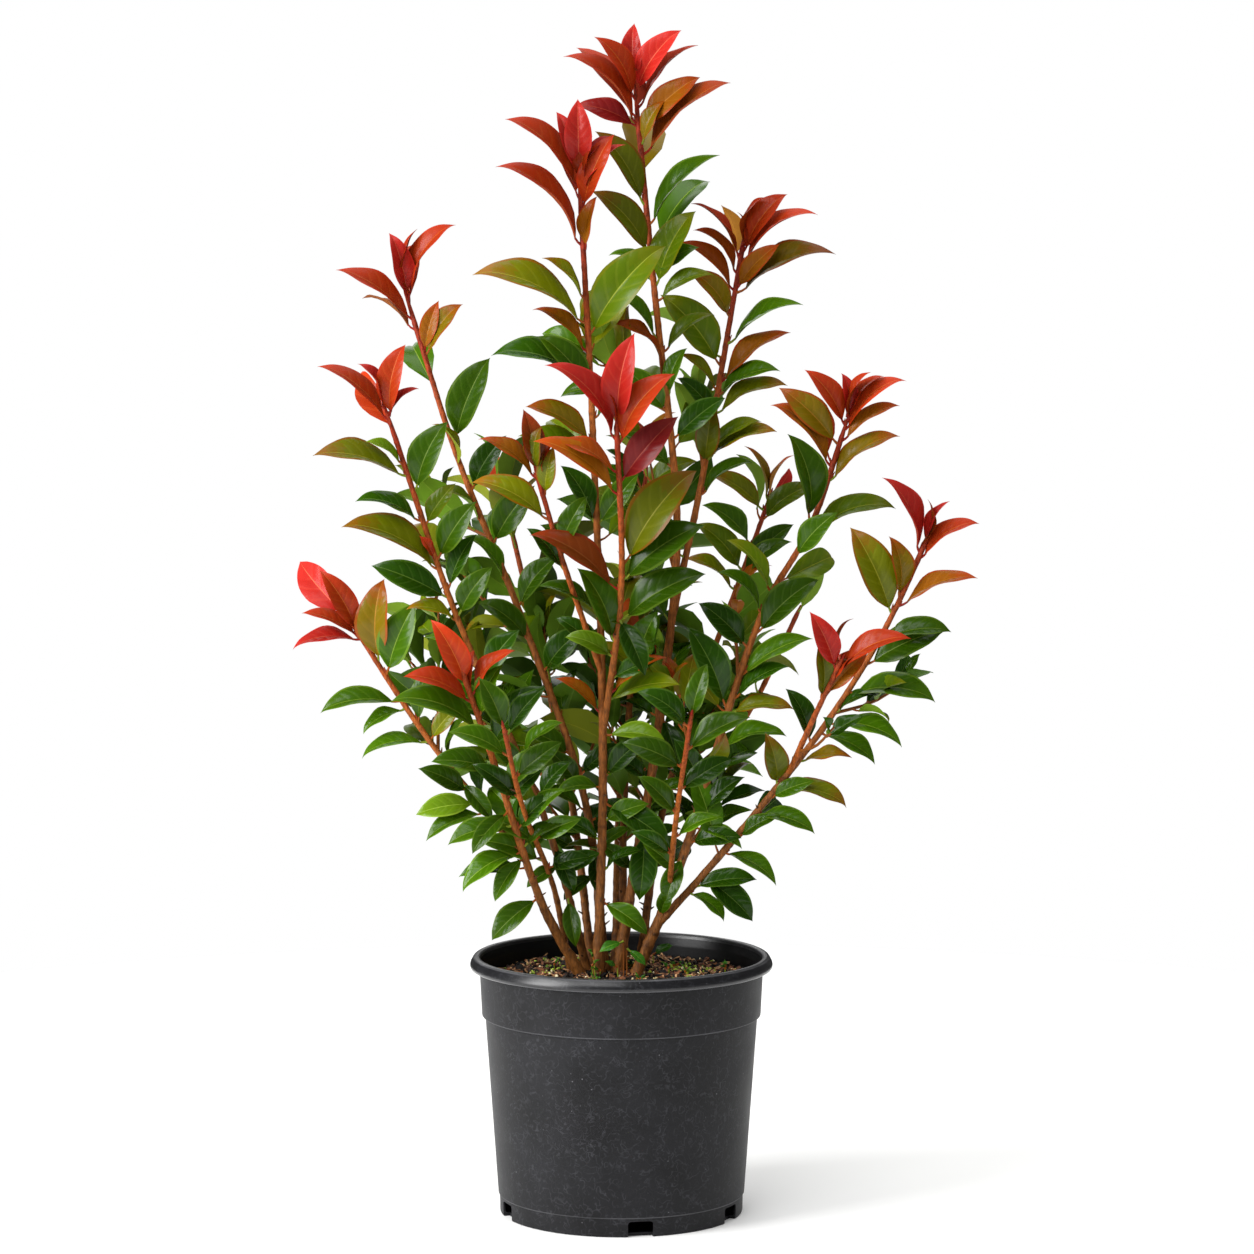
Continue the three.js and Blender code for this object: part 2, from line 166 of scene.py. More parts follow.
# The leaves that give the crown its own face: the height at which each leaves its limb, how far it leans from
# upright (to the right is positive), how long it shows, its tint, and "open" where its whole upper side is
# turned to the front. Of the others the front half is seen from its edge.
TELLING_LEAVES = {
    "tallest": [
        (1040, 0, 54, "crimson", "open"), (1026, -31, 66, "scarlet", "open"), (1004, -47, 88, "scarlet"),
        (1034, 38, 66, "crimson", "open"), (1018, 43, 78, "scarlet"), (1000, 52, 70, "copper", "open"),
        (1016, -4, 38, "crimson"), (975, 50, 102, "russet"), (1002, -72, 58, "wine", "open"),
        (930, -32, 80, "olive", "open"), (912, 45, 88, "green"), (886, -42, 76, "olive", "open"),
        (856, 29, 76, "yellow_green", "open"), (985, 28, 44, "bronze", "open"), (872, -70, 40, "green"),
        (868, 60, 46, "green", "open"), (808, -44, 62, "green"), (795, 52, 58, "yellow_green"),
        (742, -48, 56, "green", "open"), (800, -64, 50, "russet"), (716, 52, 60, "deep_green", "open"),
        (690, -54, 56, "mid_green", "open"), (460, 164, 58, "deep_green", "open"), (772, -22, 46, "russet"),
        (756, 20, 46, "green", "open"), (842, 64, 56, "yellow_green"),
    ],
    "centre_front": [
        (962, 0, 60, "crimson", "open"), (956, -20, 58, "crimson", "open"), (944, -46, 88, "scarlet"),
        (892, -46, 102, "scarlet"), (926, 24, 70, "scarlet", "open"), (936, 40, 60, "crimson"),
        (888, 14, 48, "copper", "open"), (948, 12, 42, "scarlet", "open"), (940, 26, 56, "wine"),
        (822, -66, 108, "olive"), (812, 38, 104, "yellow_green", "open"), (770, -74, 90, "deep_green"),
        (844, -45, 52, "olive"), (758, -40, 70, "green", "open"), (716, -62, 66, "bronze"),
        (694, -66, 72, "yellow_green"), (641, -31, 60, "deep_green", "open"),
        (640, 40, 58, "green", "open"), (600, -52, 64, "green", "open"), (560, -66, 58, "mid_green"),
        (736, 60, 52, "green"), (796, -50, 62, "copper"), (466, -50, 52, "copper"),
        (407, 46, 56, "deep_green", "open"), (477, 76, 70, "yellow_green"),
        (520, -48, 52, "deep_green", "open"),
    ],
    "mid_left": [
        (826, -56, 82, "scarlet"), (846, -14, 60, "crimson", "open"), (843, 6, 66, "scarlet"),
        (846, 32, 80, "scarlet"), (792, 35, 58, "bronze", "open"), (796, 14, 48, "copper", "open"),
        (712, 25, 84, "green", "open"), (667, 31, 60, "deep_green", "open"), (618, 33, 66, "green", "open"),
        (690, -30, 46, "olive"), (585, -42, 56, "green"), (560, 36, 60, "mid_green", "open"),
        (530, -50, 58, "green", "open"), (500, 44, 56, "deep_green", "open"),
        (640, -52, 48, "yellow_green"),
    ],
    "upper_left": [
        (736, -52, 78, "scarlet"), (738, 12, 66, "scarlet", "open"), (748, -28, 46, "crimson"),
        (740, 48, 36, "crimson"), (685, -75, 84, "olive"), (670, 23, 70, "green", "open"),
        (600, -64, 92, "olive"), (644, -72, 60, "deep_green"), (696, -56, 38, "lime"),
        (574, -68, 74, "deep_green", "open"), (608, 34, 64, "green", "open"),
        (581, 28, 56, "deep_green", "open"), (553, -75, 46, "olive"), (610, -30, 24, "scarlet", "open"),
        (556, 32, 56, "green", "open"), (512, -60, 52, "green"), (500, 36, 54, "deep_green", "open"),
        (470, -70, 54, "mid_green", "open"), (640, 38, 46, "yellow_green", "open"),
    ],
    "far_left": [
        (540, -28, 66, "scarlet", "open"), (538, -68, 54, "scarlet"), (534, -96, 62, "crimson"),
        (512, 4, 76, "bronze", "open"), (500, 22, 74, "green", "open"), (477, -97, 72, "green"),
        (440, -102, 62, "green"), (530, 20, 30, "scarlet", "open"), (456, 12, 52, "green", "open"),
        (470, -120, 44, "green"), (402, 140, 44, "green", "open"), (384, -98, 56, "lime", "open"),
        (376, -113, 58, "green"), (420, 24, 46, "green"), (394, -60, 50, "mid_green", "open"),
        (440, 40, 44, "olive", "open"),
    ],
    "left_front": [
        (498, -24, 68, "scarlet", "open"), (484, -66, 64, "scarlet"), (490, 42, 56, "scarlet"),
        (496, 8, 34, "scarlet"), (458, -68, 84, "green"), (440, 40, 76, "deep_green", "open"),
        (470, 24, 52, "green", "open"), (420, -80, 56, "mid_green", "open"), (400, 46, 58, "green", "open"),
        (389, 47, 42, "deep_green", "open"), (341, -120, 62, "green"), (336, -148, 46, "green", "open"),
        (380, -138, 48, "green", "open"),
    ],
    "upper_right": [
        (884, -42, 66, "scarlet"), (892, 22, 50, "scarlet"), (888, 38, 66, "scarlet", "open"),
        (876, 54, 84, "scarlet"), (890, -4, 34, "crimson"), (852, -48, 66, "russet"),
        (868, -44, 56, "russet"), (850, 66, 98, "bronze"), (854, 42, 56, "copper", "open"),
        (828, -40, 56, "bronze", "open"), (803, 60, 78, "green"), (768, 53, 78, "copper"),
        (739, 68, 70, "olive"), (782, -38, 86, "yellow_green", "open"), (760, -46, 48, "olive"),
        (738, -44, 46, "deep_green", "open"), (690, 7, 60, "olive", "open"), (696, 53, 60, "yellow_green"),
        (756, 66, 60, "green"), (664, 58, 56, "green"), (700, 70, 66, "olive"),
    ],
    "right": [
        (730, -34, 62, "scarlet", "open"), (734, 22, 48, "scarlet"), (726, 48, 70, "scarlet"),
        (738, -5, 40, "crimson", "open"), (736, 36, 50, "scarlet"), (692, -42, 78, "copper"),
        (712, -44, 74, "bronze", "open"), (680, 56, 74, "bronze"), (640, -14, 84, "green", "open"),
        (630, 70, 82, "yellow_green"), (577, -38, 64, "yellow_green"), (558, -44, 56, "green"),
        (540, 50, 74, "mid_green", "open"), (526, -47, 60, "deep_green", "open"), (502, 61, 72, "green"),
        (480, 57, 58, "deep_green"), (469, -24, 84, "deep_green", "open"), (467, 84, 58, "olive"),
        (432, 76, 62, "green"), (396, -28, 54, "deep_green", "open"), (372, 50, 54, "deep_green", "open"),
        (610, 40, 56, "green", "open"), (360, 112, 46, "green"), (716, 58, 60, "copper"),
    ],
    "far_right": [
        (616, -26, 76, "crimson"), (622, 26, 46, "crimson"), (612, 56, 60, "scarlet"),
        (620, 8, 44, "scarlet"), (560, -28, 86, "olive", "open"), (568, 66, 74, "copper"),
        (514, 68, 74, "green", "open"), (488, 94, 76, "green"), (460, 106, 68, "green"),
        (450, 118, 56, "green"), (398, 104, 64, "olive"), (374, 104, 54, "green"),
        (575, -8, 56, "bronze", "open"), (440, -23, 54, "deep_green", "open"),
        (390, 64, 42, "green", "open"), (470, 64, 40, "deep_green"), (424, 84, 46, "bronze"),
        (352, 60, 44, "mid_green", "open"), (400, -12, 50, "olive", "open"), (538, 84, 62, "green"),
    ],
    "low_right": [
        (512, -22, 58, "crimson", "open"), (512, 62, 70, "scarlet"), (514, 14, 46, "scarlet"),
        (484, -2, 52, "olive", "open"), (488, 42, 54, "copper", "open"), (500, 40, 44, "scarlet"),
    ],
    "front_shoot": [
        (730, 8, 84, "crimson", "open"), (720, -40, 90, "crimson"), (716, 36, 78, "scarlet", "open"),
        (682, 42, 76, "wine", "open"), (726, -14, 48, "scarlet"), (690, -62, 62, "russet"),
        (606, 38, 106, "olive", "open"), (670, -56, 88, "copper"), (582, -58, 94, "russet"),
        (592, 54, 88, "mid_green", "open"), (555, 62, 86, "mid_green", "open"),
        (534, -27, 74, "green", "open"), (500, 66, 44, "deep_green", "open"), (446, 97, 56, "lime"),
        (486, 56, 60, "copper"), (520, -66, 46, "lime", "open"), (555, 155, 54, "deep_green", "open"),
    ],
    "front_right": [
        (474, 18, 50, "green", "open"), (466, -52, 56, "deep_green", "open"), (444, 62, 62, "green"),
        (426, -66, 58, "mid_green", "open"), (404, 58, 54, "deep_green", "open"),
        (380, -44, 48, "green", "open"), (356, 64, 46, "green"), (338, -60, 42, "deep_green", "open"),
    ],
    "thin_left": [
        (466, -22, 50, "green", "open"), (460, 40, 54, "deep_green", "open"), (438, -64, 58, "green"),
        (416, 52, 52, "mid_green", "open"), (394, -52, 52, "deep_green", "open"), (368, 44, 46, "green"),
        (350, -60, 44, "green", "open"),
    ],
    "back_right": [
        (654, -22, 56, "bronze"), (652, 26, 50, "copper"), (644, -56, 62, "olive", "open"),
        (636, 54, 58, "yellow_green", "open"), (612, -50, 60, "green", "open"),
        (596, 50, 56, "mid_green", "open"), (570, -58, 56, "olive"), (560, 44, 50, "copper"),
        (588, -42, 62, "yellow_green", "open"), (584, 52, 56, "green", "open"),
    ],
    "centre_back": [
        (692, -35, 56, "olive", "open"), (690, 28, 54, "bronze"), (664, 58, 56, "yellow_green", "open"),
        (655, -58, 58, "green", "open"),
    ],
    "inner_left": [
        (684, -54, 62, "copper"), (690, 4, 40, "olive", "open"), (686, -10, 60, "russet", "open"),
        (680, 18, 42, "scarlet"), (668, 12, 44, "olive", "open"), (646, -64, 76, "olive"),
        (620, 30, 52, "green", "open"), (600, -40, 50, "deep_green", "open"),
    ],
}

# Leaves on the bare lower wood: the limb first, then as above.
LOW_LEAVES = [
    ("left_front", 296, -134, 56, "green", "open"), ("upper_left", 292, 172, 44, "green", "open"),
    ("centre_front", 290, 126, 50, "green", "open"), ("tallest", 355, 182, 64, "deep_green", "open"),
    ("centre_front", 382, 121, 70, "deep_green", "open"), ("far_right", 315, 132, 60, "deep_green", "open"),
    ("far_right", 300, 128, 40, "green"), ("far_right", 338, 118, 54, "green"),
    ("right", 330, -158, 44, "green", "open"), ("left_front", 366, -104, 60, "green"),
    ("upper_left", 340, 158, 44, "deep_green", "open"), ("upper_left", 322, -120, 34, "green", "open"),
    ("thin_left", 330, -70, 60, "green", "open"), ("centre_front", 397, -95, 40, "green"),
    ("mid_left", 333, 55, 38, "green", "open"), ("right", 276, 16, 34, "green", "open"),
    ("mid_left", 332, 172, 36, "deep_green", "open"), ("upper_left", 372, -48, 42, "yellow_green"),
    ("upper_left", 386, 40, 46, "deep_green", "open"), ("mid_left", 372, -62, 46, "green"),
    ("mid_left", 392, -38, 48, "mid_green", "open"), ("upper_left", 352, -120, 40, "green", "open"),
    ("mid_left", 404, 52, 46, "deep_green", "open"), ("centre_front", 348, -62, 42, "deep_green", "open"),
    ("tallest", 402, -58, 48, "deep_green", "open"), ("tallest", 378, 60, 44, "mid_green"),
    ("left_front", 345, 58, 44, "green"), ("left_front", 362, 44, 46, "deep_green", "open"),
    ("mid_left", 424, -60, 50, "green", "open"), ("upper_left", 410, -46, 50, "mid_green", "open"),
    ("upper_left", 425, 50, 50, "green"), ("thin_left", 352, 62, 46, "green", "open"),
    ("thin_left", 322, 74, 40, "deep_green", "open"), ("upper_left", 356, 96, 44, "mid_green"),
    ("upper_left", 318, 64, 38, "deep_green", "open"), ("mid_left", 356, -100, 44, "deep_green", "open"),
    ("mid_left", 312, -130, 36, "mid_green", "open"), ("mid_left", 362, 70, 42, "deep_green", "open"),
    ("centre_front", 320, 62, 40, "deep_green"), ("centre_front", 366, 66, 44, "green", "open"),
    ("tallest", 318, -48, 40, "mid_green", "open"), ("tallest", 338, 60, 42, "deep_green"),
    ("right", 318, -50, 40, "green", "open"), ("right", 346, 84, 46, "deep_green", "open"),
    ("centre_back", 340, -60, 44, "deep_green", "open"), ("centre_back", 360, 66, 44, "mid_green", "open"),
    ("back_left", 345, 50, 44, "deep_green", "open"), ("back_left", 330, -64, 42, "mid_green", "open"),
    ("far_right", 306, 84, 56, "deep_green", "open"),
]

# Each tint's blade, tip, midrib and underside, and how rough its surface is. A turning or red leaf's edge has
# its tip's colour.
TINTS = {
    "wine": ("#741414", "#84201a", "#a84c34", "#702818", 0.36),
    "crimson": ("#981c14", "#a8241c", "#c05c3c", "#8e2c14", 0.36),
    "scarlet": ("#962c0a", "#a42c0c", "#be662a", "#8c3608", 0.38),
    "russet": ("#7e3606", "#943208", "#a6602a", "#7a4010", 0.38),
    "copper": ("#864c06", "#983a06", "#ae7020", "#7c500e", 0.38),
    "bronze": ("#6e5a02", "#8a4206", "#a67026", "#6e5e12", 0.36),
    "olive": ("#606602", "#7a5004", "#98922e", "#687014", 0.34),
    "yellow_green": ("#4e6402", "#606602", "#92962e", "#5c761a", 0.32),
    "lime": ("#5c7c0a", "#64820c", "#9cb444", "#688820", 0.30),
    "green": ("#365802", "#3d5c02", "#7e9434", "#4e6c12", 0.28),
    "mid_green": ("#2f4e02", "#345302", "#708630", "#466410", 0.27),
    "deep_green": ("#203f02", "#254402", "#627c30", "#38560e", 0.26),
    "sprout": ("#28540c", "#326410", "#769234", "#4e7628", 0.36),
}
RED_TINTS = ("wine", "crimson", "scarlet", "russet", "copper")
WARM_TINTS = (*RED_TINTS, "bronze")
TURNING_TINTS = ("bronze", "olive", "yellow_green")
GREEN_TINTS = ("green", "mid_green", "deep_green")


def linear(colour):
    """An sRGB hex colour as linear RGBA."""
    shares = [int(colour[i:i + 2], 16) / 255 for i in (1, 3, 5)]
    return [s / 12.92 if s <= 0.04045 else ((s + 0.055) / 1.055) ** 2.4 for s in shares] + [1.0]


def add_node(tree, kind, inputs=None, **settings):
    """Adds a node with its settings, and feeds each named or numbered input from a socket or a value."""
    made = tree.nodes.new(kind)
    for name, value in settings.items():
        setattr(made, name, value)
    for key, source in (inputs or {}).items():
        if isinstance(source, bpy.types.NodeSocket):
            tree.links.new(source, made.inputs[key])
        else:
            made.inputs[key].default_value = source
    return made


def start_material(name):
    """A new material's node tree and its surface shader."""
    material = bpy.data.materials.new(name)
    material.use_nodes = True
    return material, material.node_tree, material.node_tree.nodes["Principled BSDF"]


def add_piece(name, mesh, nodes):
    """Puts a finished mesh in the scene, on the part's body, in place of the solids that it stands for."""
    piece = bpy.data.objects.new(name, mesh)
    bpy.context.collection.objects.link(piece)
    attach(piece, BODY)
    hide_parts(*nodes)
    return piece


def make_mesh(name, points, faces, materials, face_materials=None):
    """A smooth-shaded mesh, in metres from points in millimetres, with sharp edges past an angle."""
    mesh = bpy.data.meshes.new(name)
    mesh.from_pydata((np.asarray(points, float) * MM).tolist(), [], faces)
    for material in materials:
        mesh.materials.append(material)
    mesh.polygons.foreach_set("use_smooth", [True] * len(mesh.polygons))
    if face_materials is not None:
        mesh.polygons.foreach_set("material_index", np.asarray(face_materials, np.int32))
    mesh.set_sharp_from_angle(angle=math.radians(SHARP_DEG))
    mesh.validate()
    mesh.update()
    return mesh


def angles_round(sides):
    """Even angles once round a circle."""
    return np.arange(sides) * TURN / sides


def band_faces(rings, sides):
    """The quads between rings of points that follow each other."""
    faces = []
    for ring in range(0, (rings - 1) * sides, sides):
        for k in range(sides):
            a, b = ring + k, ring + (k + 1) % sides
            faces.append((a, b, b + sides, a + sides))
    return faces


def unit(v):
    """The vector at length one."""
    return v / max(np.linalg.norm(v), 1e-9)


def across(v, axis):
    """The part of v at a right angle to axis, at length one."""
    return unit(v - np.dot(v, axis) * axis)


def smooth_step(low, high, x):
    """0 below low, 1 above high, and a smooth rise between them."""
    t = np.clip((x - low) / (high - low), 0, 1)
    return t * t * (3 - 2 * t)


HEADING_STEP = 0.012


class Route:
    """A smooth path through points, read by the share of its length."""

    def __init__(self, points, steps=40):
        points = [np.array(p, float) for p in points]
        points = [2 * points[0] - points[1], *points, 2 * points[-1] - points[-2]]
        trace = []
        for p0, p1, p2, p3 in zip(points, points[1:], points[2:], points[3:]):
            d0, d1, d2 = (math.sqrt(np.linalg.norm(b - a)) for a, b in ((p0, p1), (p1, p2), (p2, p3)))
            m1 = d1 * ((p1 - p0) / d0 - (p2 - p0) / (d0 + d1) + (p2 - p1) / d1)
            m2 = d1 * ((p2 - p1) / d1 - (p3 - p1) / (d1 + d2) + (p3 - p2) / d2)
            for t in np.arange(steps) / steps:
                trace.append(p1 + m1 * t + (3 * (p2 - p1) - 2 * m1 - m2) * t**2
                             + (2 * (p1 - p2) + m1 + m2) * t**3)
        trace.append(points[-2])
        self.trace = np.array(trace)
        run = np.linalg.norm(np.diff(self.trace, axis=0), axis=1)
        self.run = np.concatenate([[0], np.cumsum(run)])
        self.length = self.run[-1]

    def at(self, share):
        """The point at a share of the length."""
        wanted = np.clip(share, 0, 1) * self.length
        return np.stack([np.interp(wanted, self.run, self.trace[:, k]) for k in range(3)], -1)

    def heading(self, share):
        """The direction of travel at a share of the length."""
        return unit(self.at(min(share + HEADING_STEP, 1)) - self.at(max(share - HEADING_STEP, 0)))

    def share_at_height(self, height):
        """The share at which the path reaches a height."""
        return float(np.interp(height, self.trace[:, 2], self.run) / self.length)


def grow_routes():
    """Every limb's route, by name. A bough starts on its parent's centre line."""
    routes = {}
    for name, limb in LIMBS.items():
        if "parent" in limb:
            start = routes[limb["parent"]].at(limb["at"])
        else:
            start = (*limb["foot"], COMPOST_LEVEL)
        routes[name] = Route([start, *limb["bends"], limb["end"]])
    return routes


ROUTES = grow_routes()


def limb_radius(name, share):
    """A limb's radius at a share of its length, with the flare at a stem's foot."""
    limb = LIMBS[name]
    along = share * ROUTES[name].length
    radius = limb["radii"][1] + (limb["radii"][0] - limb["radii"][1]) * (1 - share) ** THINNING
    if "foot" in limb:
        radius = radius * (1 + STEM_FLARE * np.exp(-along / FLARE_LENGTH))
    return radius * (1 - END_TAPER * smooth_step(END_START, 1, share))


FIRST_SIDE = np.array([1.0, 0.2, 0.1])


def tube(route, radii, shares, sides):
    """Rings of points round a route, closed at both ends."""
    side = across(FIRST_SIDE, route.heading(0))
    angles = angles_round(sides)
    rings = []
    for share, ring_radii in zip(shares, radii):
        heading = route.heading(share)
        side = across(side, heading)
        other = np.cross(heading, side)
        spread = np.outer(np.cos(angles), side) + np.outer(np.sin(angles), other)
        rings.append(route.at(share) + spread * np.reshape(ring_radii, (-1, 1)))
    last = (len(shares) - 1) * sides
    ends = [tuple(range(sides))[::-1], tuple(range(last, last + sides))]
    return np.concatenate(rings), band_faces(len(shares), sides) + ends


class Heap:
    """Meshes joined as they come, with a material number for each face."""

    def __init__(self):
        self.points, self.faces, self.marks, self.count = [], [], [], 0

    def add(self, points, faces, marks):
        """Adds one shape. marks is a number for all its faces, or one for each."""
        self.points.append(points)
        shift = self.count
        self.faces += [tuple(v + shift for v in face) for face in faces]
        self.marks += [marks] * len(faces) if isinstance(marks, int) else list(marks)
        self.count += len(points)

    def mesh(self, name, materials):
        """All of it as one mesh."""
        return make_mesh(name, np.concatenate(self.points), self.faces, materials, self.marks)


# ---------------------------------------------------------------- materials


# The wall's light patches, pale edge rings of rubbing and painted highlight, dust, an inside free of scuffs
# and painted dark as shade, and a leaf scar or ring on old bark.
WALL_LIGHT = "#1c1c1f"
WEAR_DUST_AND_HIGHLIGHT_PLASTIC = "#7a7a7e"
CLEAN_SHADED_INSIDE_PLASTIC = "#101011"
SCAR_BROWN = "#2e180e"
# The heights of the pot's edges, paled by rubbing and by a painted highlight along each, and how far the
# paling reaches.
WORN_AND_HIGHLIGHT_EDGES = (SEAM_HEIGHT + 0.6, LEDGE_HEIGHT + LEDGE_RISE, POT_HEIGHT - RIM_HEIGHT + 0.5, POT_HEIGHT - 1)
WEAR_AND_HIGHLIGHT_REACH = 0.9
# Each net of scuffs: the scale of its noise, and how many lines are drawn across it.
SCUFF_NETS = ((150.0, 3.0), (230.0, 2.0))
# How much smoother the rim is than the wall, and how strong its clear gloss is.
RIM_POLISH = -0.16
RIM_COAT = 0.7


def pot_plastic(colour, scuff):
    """Recycled polypropylene. Matt charcoal with a soft sheen, curly hair-fine scuffs, dust and a glossy rim.

    The scuffs are the level lines of a wandering noise, drawn as thick as they need to be to show.
    """
    material, tree, shader = start_material("pot_plastic")
    place = add_node(tree, "ShaderNodeTexCoord").outputs["Object"]
    cloud = add_node(tree, "ShaderNodeTexNoise", {"Vector": place, "Scale": 22.0, "Detail": 5.0})
    body = add_node(tree, "ShaderNodeValToRGB", {"Fac": cloud.outputs["Fac"]})
    body.color_ramp.elements[0].position, body.color_ramp.elements[1].position = 0.34, 0.7
    body.color_ramp.elements[0].color = linear(colour)
    body.color_ramp.elements[1].color = linear(WALL_LIGHT)
    shown = 0.0
    for scale, levels in SCUFF_NETS:
        away = add_node(tree, "ShaderNodeTexNoise", {
            "Vector": place, "Scale": scale, "Detail": 1.0, "Distortion": 0.5}).outputs["Fac"]
        for step, value in (("MULTIPLY", levels), ("FRACT", 0.0), ("SUBTRACT", 0.5), ("ABSOLUTE", 0.0)):
            away = add_node(tree, "ShaderNodeMath", {0: away, 1: value}, operation=step).outputs[0]
        line = add_node(tree, "ShaderNodeMapRange", {"Value": away, "From Min": 0.13, "From Max": 0.03})
        patch = add_node(tree, "ShaderNodeTexNoise", {"Vector": place, "Scale": scale * 0.6, "Detail": 3.0})
        some = add_node(tree, "ShaderNodeMapRange", {
            "Value": patch.outputs["Fac"], "From Min": 0.4, "From Max": 0.64, "To Min": 0.03, "To Max": 0.2})
        line = line.outputs[0]
        for step, value in (("MULTIPLY", some.outputs[0]), ("MAXIMUM", shown)):
            line = add_node(tree, "ShaderNodeMath", {0: line, 1: value}, operation=step).outputs[0]
        shown = line
    scuffed = add_node(tree, "ShaderNodeMix", {0: shown, 6: body.outputs["Color"], 7: linear(scuff)},
                       data_type="RGBA")
    height = add_node(tree, "ShaderNodeSeparateXYZ", {0: place}).outputs["Z"]
    level = add_node(tree, "ShaderNodeVectorMath", {0: place, 1: (1, 1, 0)}, operation="MULTIPLY")
    spread = add_node(tree, "ShaderNodeVectorMath", {0: level.outputs[0]}, operation="LENGTH")
    inner = add_node(tree, "ShaderNodeMath", {0: spread.outputs["Value"], 1: (UNDER_RIM_RADIUS - 1) * MM},
                     operation="LESS_THAN")
    high = add_node(tree, "ShaderNodeMath", {0: height, 1: (COMPOST_LEVEL - 8) * MM},
                    operation="GREATER_THAN")
    inside = add_node(tree, "ShaderNodeMath", {0: inner.outputs[0], 1: high.outputs[0]}, operation="MULTIPLY")
    shown = 0.0
    # Pale rings at the seam, the ledge and the rim: partly rubbed wear, partly a painted highlight along each
    # edge.
    for edge in WORN_AND_HIGHLIGHT_EDGES:
        away = height
        for step, value in (("SUBTRACT", edge * MM), ("ABSOLUTE", 0.0)):
            away = add_node(tree, "ShaderNodeMath", {0: away, 1: value}, operation=step).outputs[0]
        line = add_node(tree, "ShaderNodeMapRange", {
            "Value": away, "From Min": WEAR_AND_HIGHLIGHT_REACH * MM, "From Max": 0.2 * MM, "To Max": 0.6}).outputs[0]
        for step, value in (("MULTIPLY", cloud.outputs["Fac"]), ("MAXIMUM", shown)):
            line = add_node(tree, "ShaderNodeMath", {0: line, 1: value}, operation=step).outputs[0]
        shown = line
    specks = add_node(tree, "ShaderNodeTexVoronoi", {"Vector": place, "Scale": 115.0})
    chosen = add_node(tree, "ShaderNodeSeparateColor", {0: specks.outputs["Color"]})
    chosen = add_node(tree, "ShaderNodeMapRange", {
        "Value": chosen.outputs[0], "From Min": 0.72, "From Max": 0.9})
    dust = add_node(tree, "ShaderNodeMapRange", {
        "Value": specks.outputs["Distance"], "From Min": 0.09, "From Max": 0.04, "To Max": 0.55}).outputs[0]
    for step, value in (("MULTIPLY", chosen.outputs[0]), ("MAXIMUM", shown)):
        dust = add_node(tree, "ShaderNodeMath", {0: dust, 1: value}, operation=step).outputs[0]
    shown = dust
    # Dust and the edge rings, of rubbing and painted highlight, take the same pale colour.
    wear_dust_and_highlight = add_node(tree, "ShaderNodeMix", {0: shown, 6: scuffed.outputs[2], 7: linear(WEAR_DUST_AND_HIGHLIGHT_PLASTIC)},
                    data_type="RGBA")
    # Inside the mouth the plastic is painted darker, as painted shade, with no patches, scuffs or dust.
    clean_shaded_inside = add_node(tree, "ShaderNodeMix", {
        0: inside.outputs[0], 6: wear_dust_and_highlight.outputs[2], 7: linear(CLEAN_SHADED_INSIDE_PLASTIC)}, data_type="RGBA")
    tree.links.new(clean_shaded_inside.outputs[2], shader.inputs["Base Color"])
    # The rim is smoother than the wall, as it left the mould, and so is the inside.
    rim_foot = POT_HEIGHT - RIM_HEIGHT
    on_rim = add_node(tree, "ShaderNodeMapRange", {
        "Value": height, "From Min": (rim_foot - 1) * MM, "From Max": rim_foot * MM, "To Max": RIM_POLISH})
    lip = add_node(tree, "ShaderNodeMapRange", {
        "Value": on_rim.outputs[0], "From Max": RIM_POLISH, "To Max": RIM_COAT})
    outer = add_node(tree, "ShaderNodeMath", {0: 1.0, 1: inside.outputs[0]}, operation="SUBTRACT")
    lip = add_node(tree, "ShaderNodeMath", {0: lip.outputs[0], 1: outer.outputs[0]}, operation="MULTIPLY")
    tree.links.new(lip.outputs[0], shader.inputs["Coat Weight"])
    shader.inputs["Coat Roughness"].default_value = 0.3
    gloss = add_node(tree, "ShaderNodeMapRange", {
        "Value": cloud.outputs["Fac"], "From Min": 0.3, "From Max": 0.7, "To Min": 0.44, "To Max": 0.54})
    gloss = add_node(tree, "ShaderNodeMath", {0: gloss.outputs[0], 1: on_rim.outputs[0]}, operation="ADD")
    tree.links.new(gloss.outputs[0], shader.inputs["Roughness"])
    shader.inputs["Specular IOR Level"].default_value = 0.2
    grain = add_node(tree, "ShaderNodeTexNoise", {"Vector": place, "Scale": 700.0, "Detail": 3.0})
    bump = add_node(tree, "ShaderNodeBump", {
        "Height": grain.outputs["Fac"], "Strength": 0.2, "Distance": 0.0004})
    tree.links.new(bump.outputs["Normal"], shader.inputs["Normal"])
    return material


